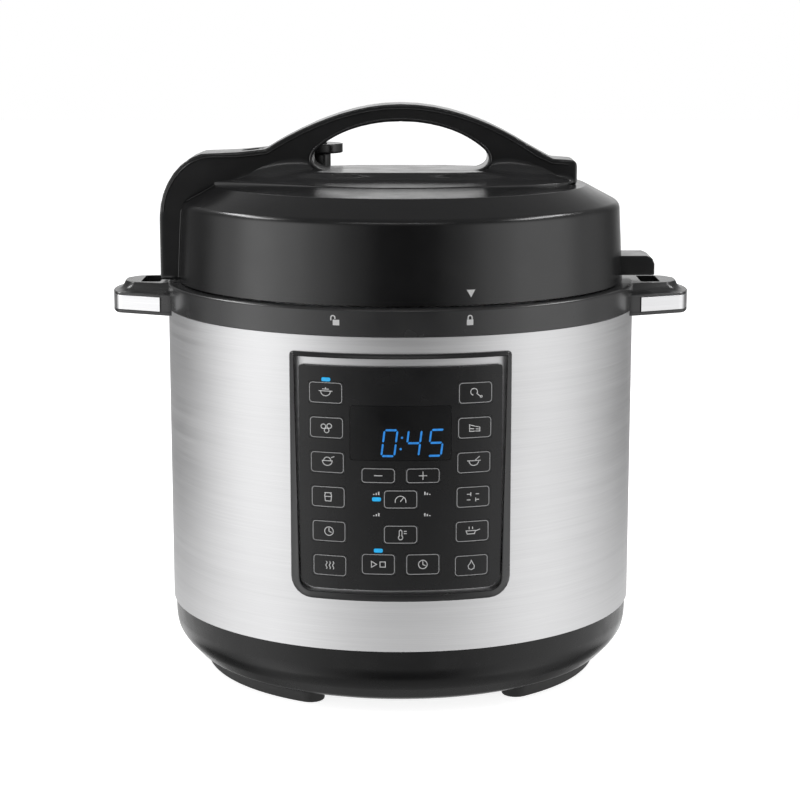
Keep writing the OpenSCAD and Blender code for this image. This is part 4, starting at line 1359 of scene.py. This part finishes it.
    def key(self, key: Key) -> None:
        """Builds a key's pad, its printed outline and its sign.

        Args:
            key: The key.
        """
        plan = [[(x + key.x, -depth, z + key.z) for x, z in
                 rounded(key.width, key.height, self.corner, self.corner, inset)]
                for inset, depth in ((0, self.key_back), (0, self.film - 0.04), (0.05, self.film))]
        pad = Shape().loft(plan).slices(3.0).wrapped()
        pad.settle(f"{key.name}_pad", key.name, Slot.FILM, FILM_BLACK, replaces=[key.name])
        depth = self.film + RELIEF
        near, far = self.film - 0.05, 0.35 + self.key_pen
        rings = [[(x + key.x, -d, z + key.z) for x, z in
                  rounded(key.width, key.height, self.line_corner, self.line_corner, inset)]
                 for inset, d in ((0.35, near), (0.35, depth), (far, depth), (far, near))]
        line = Shape().loft(rings, closed=True).wrapped()
        line.settle(f"{key.name}_outline", key.name, Slot.FILM, INK, weighted=False)
        sign = Shape()
        for points in key.sign:
            sign.pen(points, self.sign_pen, (key.x, key.z), depth)
        sign.wrapped()
        sign.settle(f"{key.name}_sign", key.name, Slot.FILM, INK_WHITE, weighted=False)

    def window(self) -> None:
        """Builds the smoked display window."""
        plan = [[(x, -depth, z + self.window_z) for x, z in rounded(52.8, 28.8, 1.5, 1.5, inset)]
                for inset, depth in ((0, 0.3), (0, self.film - 0.06), (0.06, self.film))]
        pane = Shape().loft(plan).slices(3.0).wrapped()
        pane.settle("window_pane", Body.HOUSING, Slot.WINDOW, WINDOW_BLACK,
                    replaces=["display_window"])

    def digits(self) -> None:
        """Lights three slanted digits and the colon."""
        lit = {"0": "abcdef", "4": "bcfg", "5": "acdfg"}
        half, bar, pen, gap, slant = 3.9, 7.15, 1.15, 0.35, 0.12
        ends = {
            "a": ((-half, bar), (half, bar)), "g": ((-half, 0), (half, 0)),
            "d": ((-half, -bar), (half, -bar)), "b": ((half, bar), (half, 0)),
            "c": ((half, 0), (half, -bar)), "f": ((-half, bar), (-half, 0)),
            "e": ((-half, 0), (-half, -bar)),
        }
        shape = Shape()
        for figure, centre in (("0", -5.8), ("4", 6.8), ("5", 18.5)):
            for part in lit[figure]:
                a, b = (Vector(p) for p in ends[part])
                way = (b - a).normalized()
                side = Vector((-way.y, way.x)) * pen / 2
                a, b = a + way * gap, b - way * gap
                six = [a, a + side + way * pen / 2, b + side - way * pen / 2, b,
                       b - side - way * pen / 2, a - side + way * pen / 2]
                shape.outline([(p.x * 0.86 + p.y * slant + centre, -self.film - RELIEF,
                                p.y * 0.96 + self.digits_z) for p in six])
        for z in (-3.1, 2.9):
            dot = arc((0.4 + slant * z, z + self.digits_z), 0.62, 0, 330, 11)
            shape.outline([(x, -self.film - RELIEF, w) for x, w in dot])
        shape.thicken(PRINT).wrapped()
        shape.settle("display_digits", Body.HOUSING, Slot.LIGHT, DIGIT_GLOW, weighted=False,
                     replaces=["led_display"])

    def lamp_places(self) -> List[Point]:
        """Places of the three lit lamps, as x and z."""
        return [(-38.9, 184.9), (-12.6, 122.2), (-11.7, 94.6)]

    def lamps(self) -> None:
        """Builds the three lit lamps."""
        shape = Shape()
        for x, z in self.lamp_places():
            plan = [[(u + x, -depth, w + z) for u, w in rounded(4.6, 2.0, 0.8, 0.8, inset)]
                    for inset, depth in ((0, 0.3), (0, self.film - 0.1), (0.15, self.film + 0.05))]
            shape.loft(plan)
        shape.wrapped().settle("lamps", Body.HOUSING, Slot.LIGHT, BLUE_GLOW,
                               replaces=["indicator_leds"])

    def levels(self) -> None:
        """Prints the marks of high and low beside the level keys."""
        shape = Shape()
        for x, way in ((-12.7, 1), (14.0, -1)):
            for z in (125.5, 114.1):
                for u in (-1.3, 0.0, 1.3):
                    tall = 1.1 + 0.45 * u * way
                    shape.outline([(x + u + a, -self.film - RELIEF, z + b) for a, b in
                                   ((-0.35, -0.9), (0.35, -0.9), (0.35, -0.9 + tall),
                                    (-0.35, -0.9 + tall))])
        shape.thicken(PRINT).wrapped()
        shape.settle("level_marks", Body.HOUSING, Slot.FILM, INK_WHITE, weighted=False)


@dataclass
class Lid:
    """Lid cover, handle, valves and marks."""

    steps: int = 192
    arm_pull: float = 0.926
    fillet_box: Sequence[Point] = ((-92, 84), (11, 30), (276.5, 292))
    fillet_rounds: int = 14
    skirt_r: float = 127.0
    skirt_low: float = 223.0
    skirt_high: float = 263.3
    skirt_draw: float = 2.1
    dome_low: float = 276.62
    dome_high: float = 278.92
    crests: Sequence[Point] = (
        (-96, 280.0), (-90, 284.5), (-82, 289.5), (-70, 292.5), (-54, 291.5), (-50.5, 289.0),
        (-48.5, 286.4), (-45, 284.6), (-38, 283.9), (38, 283.9), (45, 284.6), (48.5, 286.4),
        (50.5, 289.0), (54, 291.5), (62, 292.0), (72, 290.0), (80, 287.0), (90, 281.5), (97, 279.9),
    )

    def build(self) -> None:
        """Builds every piece of the lid's outside."""
        self.cover()
        self.apron()
        self.flanks()
        self.seam()
        self.tab()
        self.handle()
        self.valve()
        self.marks()

    def cover(self) -> None:
        """Builds the lid's skirt, shoulder, rim and dome."""
        shoulder, rim = 5.0, 105.5
        rise = self.dome_high - self.dome_low
        centre = (self.skirt_r - self.skirt_draw - shoulder, self.skirt_high)
        outer = [(self.skirt_r, self.skirt_low)] + arc(centre, shoulder, 0, 62, 8)
        outer += [(rim + 0.4, self.dome_low - 0.2)]
        outer += [(rim * (1 - i / 12), self.dome_low + rise * (1 - (1 - i / 12) ** 2))
                  for i in range(13)]
        inner = [(0.0, 275.9), (104.0, 273.6), (117.5, 266.0), (121.8, 262.0),
                 (self.skirt_r - 3.0, self.skirt_low)]
        shape = Shape().lathe(outer + inner, self.steps)
        shape.settle("lid_shell", Body.LID, Slot.PLASTIC, BLACK, replaces=["lid_cover"])

    def tab(self) -> None:
        """Builds the stand tab on the skirt's right."""
        shape = Shape().plate([(119, -15), (144.5, -15), (144.5, 15), (119, 15)], 225.3, 236.3)
        shape.soften(4.6, 2, chosen=lambda e: all(v.co.x > 144 and v.co.z > 236 for v in e.verts))
        shape.soften(0.8, 3, chosen=lambda e: max(v.co.x for v in e.verts) > 120)
        shape.settle("lid_tab", Body.LID, Slot.PLASTIC, HANDLE_BLACK_PAINTED_LIGHT)

    def handle(self) -> None:
        """Builds the arch, its saddle, arm and tail as one soft-edged skin."""
        shape = Shape().take("lid_handle").bend(self.ease_arm).refined(1.0, 4)
        fillet = [v for v in shape.mesh.verts if all(
            low < place < high for place, (low, high) in
            zip((v.co.x, abs(v.co.y), v.co.z), self.fillet_box))]
        for _ in range(self.fillet_rounds):
            bmesh.ops.smooth_vert(
                shape.mesh, verts=fillet, factor=0.5, use_axis_x=True, use_axis_y=True,
                use_axis_z=True,
            )
        shape.settle("lid_handle_skin", Body.LID, Slot.PLASTIC, HANDLE_BLACK_PAINTED_LIGHT, crease=60,
                     replaces=["lid_handle"], weighted=False)
        self.beads()

    def flanks(self) -> None:
        """Builds the concave flanks that run from the handle's legs out over the foot."""
        under, foot, swell, widest = 277.0, 278.5, 1.1, 24.0
        outline = [(-x, y) for x, y, _ in self.flare(1.0, 98.6, 0.0)[:41]]
        rings = []
        for x in (-95.0 + 3.0 * i for i in range(65)):
            edge = self.between(outline, -x) - 0.7
            leg = min(14.97, edge - 0.6)
            crest = self.between(self.crests, x)
            reach = min(edge - leg, widest)
            row = [(x, 0.0, under), (x, edge, under), (x, edge, foot - 0.2), (x, edge, foot)]
            for i in range(1, 13):
                turn = math.pi / 2 * (1 - i / 12)
                y = leg + reach * (1 - math.cos(turn))
                slope = foot + swell * (edge - y) / (edge - leg)
                row.append((x, y, slope + (crest - foot - swell) * (1 - math.sin(turn))))
            row.append((x, 0.0, crest))
            rings.append(row + [(x, -y, z) for _, y, z in row[-2:0:-1]])
        Shape().loft(rings).settle("handle_flanks", Body.LID, Slot.PLASTIC, HANDLE_BLACK_PAINTED_LIGHT, 50)

    def between(self, table: Sequence[Point], at: float) -> float:
        """Reads a table of places and values between its rows.

        Args:
            table: Rows with rising places.
            at: The place.

        Returns:
            The value there.
        """
        for (x0, y0), (x1, y1) in zip(table, table[1:]):
            if at <= x1:
                share = min(1.0, max(0.0, (at - x0) / max(1e-6, x1 - x0)))
                return y0 + (y1 - y0) * share
        return table[-1][1]

    def ease_arm(self, place: Vector) -> Sequence[float]:
        """Evens out the step between the arm's and the arch's widths.

        Args:
            place: A vertex's place.

        Returns:
            Its new place.
        """
        x, y, z = place
        if x < -100:
            x = -100 + (x + 100) * self.arm_pull
        if z > 300:
            z -= 0.8 * min(1.0, (z - 300) / 15)
        if 14.9 < abs(y) < 17.6 and -112 < x < -60 and z > 270:
            y = math.copysign(self.arm_half(x), y)
        return (x, y, z)

    def arm_half(self, x: float) -> float:
        """Half the width of the arm and the arch at a place along them."""
        share = min(1.0, max(0.0, (x + 104) / 40))
        return 17.5 - 2.5 * share * share * (3 - 2 * share)

    def flare(self, share: float, tip: float, z: float) -> List[Sequence[float]]:
        """Plan of the handle's foot.

        Args:
            share: Its width as a share of the whole foot's.
            tip: Where it ends on the tail's side.
            z: Its height.

        Returns:
            The plan's points.
        """
        w = 60.0 * share
        half = bezier((tip, 0), (tip, 0.35 * w), (tip - 10, 0.5 * w), (72, 0.62 * w), 10)
        half += bezier((72, 0.62 * w), (50, 0.75 * w), (30, w), (0, w), 14)[1:]
        half += bezier((0, w), (-40, w), (-50, 0.62 * w), (-105, 17.4 * share), 16)[1:]
        back = [(x, -y) for x, y in half[::-1]][:-1]
        return [(x, y, z) for x, y in half + back]

    def apron(self) -> None:
        """Builds the thin foot that runs out over the dome, with its fine round edge."""
        rings = [self.flare(*step) for step in (
            (1.0, 98.6, 276.4), (1.0, 98.6, 277.9), (0.9985, 98.5, 278.25), (0.993, 98.2, 278.5),
            (0.985, 97.9, 278.62), (0.9, 97.6, 279.15), (0.8, 97.2, 279.7), (0.7, 96.8, 280.1),
            (0.6, 96.4, 280.3), (0.5, 96.0, 280.3))]
        shape = Shape().loft(rings)
        shape.settle("handle_apron", Body.LID, Slot.PLASTIC, HANDLE_BLACK_PAINTED_LIGHT, crease=60)

    def beads(self) -> None:
        """Lays the rib round the handle's opening and the fine edge under its top strip."""
        half = bezier((0, 312.7), (22, 312.7), (38, 304.7), (46.5, 297.4), 14)
        half += bezier((46.5, 297.4), (52.5, 292.2), (51.5, 284.4), (38, 284.4), 12)[1:]
        opening = half + [(x, 284.4) for x in (25, 12, 0, -12, -25)]
        opening += [(-x, z) for x, z in half[::-1]][:-1]
        top = bezier((-136.3, 262), (-136.3, 276), (-124.3, 295), (-105.7, 295), 14)
        top += [(-92.0, 295.0)]
        top += bezier((-76, 296.6), (-56, 309.2), (-30, 321.8), (0, 321.8), 22)
        top += bezier((0, 321.8), (32, 321.8), (58, 308.7), (78, 294.8), 22)[1:]
        top += [(86, 291.2), (95, 290.6)]
        for side, name in ((-1, "front"), (1, "back")):
            line = [(x, side * 15.0, z) for x, z in self.beside(opening, 0.7, True)]
            self.rib(line, 0.95, True, f"opening_rib_{name}")
            line = []
            for x, z in self.beside(top, -2.6, False):
                line.append((x, side * (self.arm_half(x) + 0.05), z))
            self.rib(line, 0.5, False, f"top_edge_{name}")

    def seam(self) -> None:
        """Lays the fine edge where the arm meets the lid's skirt and shoulder."""
        line = [(-125.9, 224.5), (-124.6, 250.0), (-123.9, 261.5), (-122.6, 265.2),
                (-119.8, 268.2), (-112.0, 272.4), (-104.6, 276.6)]
        for side, name in ((-1, "front"), (1, "back")):
            self.rib([(x, side * 17.45, z) for x, z in line], 0.5, False, f"arm_seam_{name}")

    def beside(self, line: Sequence[Point], offset: float, closed: bool) -> List[Point]:
        """A line at a distance to the left of another.

        Args:
            line: The points.
            offset: The distance.
            closed: Whether the line is a loop.

        Returns:
            The points of the new line.
        """
        moved = []
        for i, here in enumerate(line):
            way = along(line, i, closed)
            moved.append((here[0] - way.y * offset, here[1] + way.x * offset))
        return moved

    def rib(self, line: Sequence[Sequence[float]], radius: float, closed: bool,
            name: str) -> None:
        """Lays a round rib along a line.

        Args:
            line: The rib's centre line.
            radius: Its radius.
            closed: Whether it is a loop.
            name: The piece's name.
        """
        rings = []
        for i, here in enumerate(line):
            way = along(line, i, closed)
            across = Vector((0, 1, 0))
            across = (across - way * across.dot(way)).normalized()
            up = way.cross(across)
            rings.append([Vector(here) + (across * math.cos(t) + up * math.sin(t)) * radius
                          for t in (math.tau * k / 10 for k in range(10))])
        shape = Shape().loft(rings, closed=closed)
        shape.settle(name, Body.LID, Slot.PLASTIC, HANDLE_BLACK_PAINTED_LIGHT, crease=70, weighted=False)

    def valve(self) -> None:
        """Builds the steam release valve's cap."""
        shape = Shape().take("release_valve").refined(0.5, 3)
        shape.settle("release_valve_cap", Body.VALVE, Slot.PLASTIC, BLACK, crease=60,
                     replaces=["release_valve"], weighted=False)

    def skirt_radius(self, z: float) -> float:
        """Radius of the skirt at a height."""
        share = (z - self.skirt_low) / (self.skirt_high - self.skirt_low)
        return self.skirt_r - self.skirt_draw * share

    def marks(self) -> None:
        """Prints the arrow on the skirt."""
        shape = Shape()
        shape.outline([(-2.35, -0.02, 230.9), (2.35, -0.02, 230.9), (0, -0.02, 226.9)])
        shape.thicken(0.06)
        shape.bend(lambda v: (v.x, -math.sqrt((self.skirt_radius(v.z) - v.y) ** 2 - v.x ** 2), v.z))
        shape.turn(16.8).settle("lid_arrow", Body.LID, Slot.PLASTIC, INK_WHITE, weighted=False)


# --------------------------------------------------------------------------------------
# Finishes of the pieces that stay as the frame has them
# --------------------------------------------------------------------------------------


@dataclass
class Wardrobe:
    """Gives every piece that the frame still shows its finish."""

    finishes: Dict[Slot, Finish] = field(default_factory=lambda: {
        Slot.PLASTIC: INNER_BLACK,
        Slot.BEZEL: BEZEL_BLACK,
        Slot.FILM: FILM_BLACK,
        Slot.WINDOW: WINDOW_BLACK,
        Slot.FOOT: FOOT_RUBBER,
        Slot.BRUSHED: TRIM_STEEL,
        Slot.STAMPED: STAMPED,
        Slot.CAST: CAST,
        Slot.COATING: POT_COATING,
        Slot.SILICONE: SILICONE,
        Slot.FASTENER: FASTENER,
        Slot.LIGHT: BLUE_GLOW,
        Slot.BOARD: BOARD_GREEN,
        Slot.COMPONENT: COMPONENT,
        Slot.BRASS: BRASS,
        Slot.CLEAR: CLEAR,
    })
    special: Dict[str, Finish] = field(default_factory=lambda: {"gasket_rack": SHELL})

    def dress(self) -> None:
        """Puts the finish of its slot, or its own, on every node of the frame."""
        slots = {entry["node"]: entry["material_slot"] for entry in frame["record"]["subparts"]}
        for name, node in frame["nodes"].items():
            finish = self.special.get(name) or self.finishes[Slot(slots[name])]
            material = finish.material()
            if not node.data.materials:
                node.data.materials.append(material)
            for place in node.material_slots:
                place.material = material
        LOG.info("dressed %d nodes", len(frame["nodes"]))


@dataclass
class Insides:
    """Pieces of the back and the inside: the frame's shapes with soft edges."""

    softened: Sequence[Tuple[str, Body, Slot, Finish, float]] = (
        ("power_inlet", Body.HOUSING, Slot.PLASTIC, INNER_BLACK, 0.7),
        ("collector_bracket", Body.HOUSING, Slot.PLASTIC, INNER_BLACK, 0.6),
        ("condensation_collector", Body.COLLECTOR, Slot.CLEAR, CLEAR, 1.0),
        ("cooking_pot", Body.POT, Slot.COATING, POT_COATING, 0.5),
        ("sealing_ring", Body.LID, Slot.SILICONE, SILICONE, 0.4),
        ("lid_plate", Body.LID, Slot.STAMPED, STAMPED, 0.3),
        ("lock_ring", Body.HOUSING, Slot.CAST, CAST, 0.4),
        ("pot_well", Body.HOUSING, Slot.CAST, CAST, 0.4),
        ("heating_plate", Body.HOUSING, Slot.CAST, CAST, 0.4),
        ("anti_block_shield", Body.SHIELD, Slot.STAMPED, STAMPED, 0.2),
        ("bottom_plate", Body.HOUSING, Slot.STAMPED, STAMPED, 0.3),
        ("float_valve", Body.FLOAT, Slot.FASTENER, FASTENER, 0.2),
        ("vent_pipe", Body.LID, Slot.STAMPED, STAMPED, 0.2),
    )

    def build(self) -> None:
        """Builds every piece."""
        for node, body, slot, finish, radius in self.softened:
            shape = Shape().take(node).flatten(1.0)
            shape.soften(radius, 2, 40.0)
            shape.settle(f"{node}_soft", body, slot, finish, crease=45, replaces=[node],
                         recalculate=False)


# --------------------------------------------------------------------------------------
# Studio
# --------------------------------------------------------------------------------------


@dataclass
class Studio:
    """Camera, floor and soft light."""

    place: Tuple[float, float, float] = (-0.3, -1220.6, 375.0)
    pitch: float = 79.57
    lens: float = 95.92
    dome_edges: Point = (0.15, 0.65)
    dome_light: float = 0.22
    ground_edges: Point = (-0.20, -0.34)
    ground_light: float = 1.6
    shade_edges: Point = (-0.36, -0.52)
    shade_share: float = 0.9
    foot_edges: Point = (-0.72, -0.9)
    foot_light: float = 0.55
    floor_half: float = 6.0
    floor_light: float = 0.86
    glow: Sequence[Tuple[float, float]] = (
        (-180, 1.1), (-168, 0.9), (-158, 0.3), (-141, 0.12), (-122, 0.12), (-98, 0.95),
        (-77, 2.6), (-57, 2.0), (-40, 1.1), (-25, 0.5), (-9, 0.05), (15, 0.04), (31, 0.45),
        (48, 1.3), (66, 1.9), (86, 1.6), (108, 0.6), (141, 0.12), (158, 0.3), (168, 0.9),
        (180, 1.1),
    )

    def build(self) -> None:
        """Sets up the whole studio."""
        self.camera()
        self.world()
        self.floor()
        self.lamps()
        bpy.context.scene.view_settings.view_transform = "Standard"

    def camera(self) -> None:
        """Makes the camera and makes it the scene's camera."""
        data = bpy.data.cameras.new("camera")
        data.sensor_width = 36.0
        data.sensor_fit = "HORIZONTAL"
        data.lens = self.lens
        data.clip_start, data.clip_end = 0.05, 50.0
        camera = bpy.data.objects.new("camera", data)
        camera.location = [c * MM for c in self.place]
        camera.rotation_euler = (math.radians(self.pitch), 0.0, 0.0)
        bpy.context.scene.collection.objects.link(camera)
        bpy.context.scene.camera = camera

    def world(self) -> None:
        """Makes the surround: white to the camera, softboxes and a pale ground otherwise."""
        world = bpy.data.worlds.new("studio")
        bpy.context.scene.world = world
        world.use_nodes = True
        world.node_tree.nodes.clear()
        graph = Graph(world.node_tree)
        ground = graph.node("ShaderNodeBackground")
        graph.feed(ground.outputs[0], graph.node("ShaderNodeOutputWorld").inputs["Surface"])
        ground.inputs["Color"].default_value = (1.0, 1.0, 1.0, 1.0)
        way = graph.node("ShaderNodeSeparateXYZ")
        graph.feed(graph.node("ShaderNodeTexCoord").outputs["Generated"], way.inputs[0])
        front = graph.sum("MULTIPLY", way.outputs["Y"], -1.0)
        azimuth = graph.sum("ARCTAN2", way.outputs["X"], front)
        top = max(level for _, level in self.glow)
        stops = [((angle + 180.0) / 360.0, (level / top,) * 3) for angle, level in self.glow]
        turn = graph.rise(azimuth, (-math.pi, math.pi))
        side = graph.sum("MULTIPLY", graph.ramp(turn, stops, "EASE"), top)
        light = side
        layers = (
            (self.dome_edges, self.dome_light),
            (self.ground_edges, self.ground_light),
            (self.shade_edges, graph.sum("MULTIPLY", side, self.shade_share)),
            (self.foot_edges, self.foot_light),
        )
        for edges, level in layers:
            share = graph.rise(way.outputs["Z"], edges, shape="SMOOTHSTEP")
            light = graph.mix(share, light, level)
        seen = graph.node("ShaderNodeLightPath").outputs["Is Camera Ray"]
        graph.feed(graph.mix(seen, light, 1.0), ground.inputs["Strength"])

    def floor(self) -> None:
        """Lays the pale floor, white in the light and greyer in the shadow."""
        mesh = bmesh.new()
        bmesh.ops.create_grid(mesh, x_segments=1, y_segments=1, size=self.floor_half)
        data = bpy.data.meshes.new("floor")
        mesh.to_mesh(data)
        mesh.free()
        floor = bpy.data.objects.new("floor", data)
        floor.visible_glossy = False
        bpy.context.scene.collection.objects.link(floor)
        recipe = Recipe("floor_white")
        seen = recipe.node("ShaderNodeLightPath").outputs["Is Camera Ray"]
        recipe.give(
            Base_Color=recipe.tint(recipe.noise(400.0, 2.0), (0.80,) * 3, (0.82,) * 3),
            Emission_Strength=recipe.sum("MULTIPLY", seen, self.floor_light),
            Emission_Color=(1.0, 1.0, 1.0, 1.0),
            Roughness=0.9,
            Specular_IOR_Level=0.1,
        )
        data.materials.append(recipe.material)

    def lamps(self) -> None:
        """Hangs the overhead softbox and a strip light high on each side."""
        for row in (
            ("overhead", 0.0, 86.0, 1.4, (1.4, 1.1), 1.9, False),
            ("left_strip", -105.0, 42.0, 1.5, (0.9, 0.22), 12.0, True),
            ("right_strip", 97.0, 45.0, 1.5, (0.9, 0.2), 11.0, True),
            ("front_strip", -6.0, 47.0, 1.5, (1.1, 0.05), 9.0, True),
        ):
            self.lamp(*row)

    def lamp(self, name: str, azimuth: float, elevation: float, distance: float,
             size: Tuple[float, float], glare: float, mirrored: bool) -> None:
        """Hangs one soft lamp that faces the cooker.

        Args:
            name: Its name.
            azimuth: Its direction in degrees, 0 towards the camera.
            elevation: Its height above the horizon in degrees.
            distance: Its distance in metres.
            size: Its width and height in metres.
            glare: Its radiance.
            mirrored: Whether glossy surfaces show it.
        """
        data = bpy.data.lights.new(name, "AREA")
        data.shape = "RECTANGLE"
        data.size, data.size_y = size
        data.energy = glare * size[0] * size[1] * math.pi
        lamp = bpy.data.objects.new(name, data)
        a, e = math.radians(azimuth), math.radians(elevation)
        way = Vector((math.sin(a) * math.cos(e), -math.cos(a) * math.cos(e), math.sin(e)))
        lamp.location = way * distance + Vector((0, 0, 0.2))
        lamp.rotation_euler = (-way).to_track_quat("-Z", "Y").to_euler()
        lamp.visible_glossy = mirrored
        bpy.context.scene.collection.objects.link(lamp)


def main() -> None:
    """Builds the studio and the cooker."""
    logging.basicConfig(level=logging.INFO, format="%(name)s: %(message)s")
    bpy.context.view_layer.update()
    Studio().build()
    Wardrobe().dress()
    Housing().build()
    ControlPanel().build()
    Lid().build()
    Insides().build()


if __name__ == "__main__":
    main()
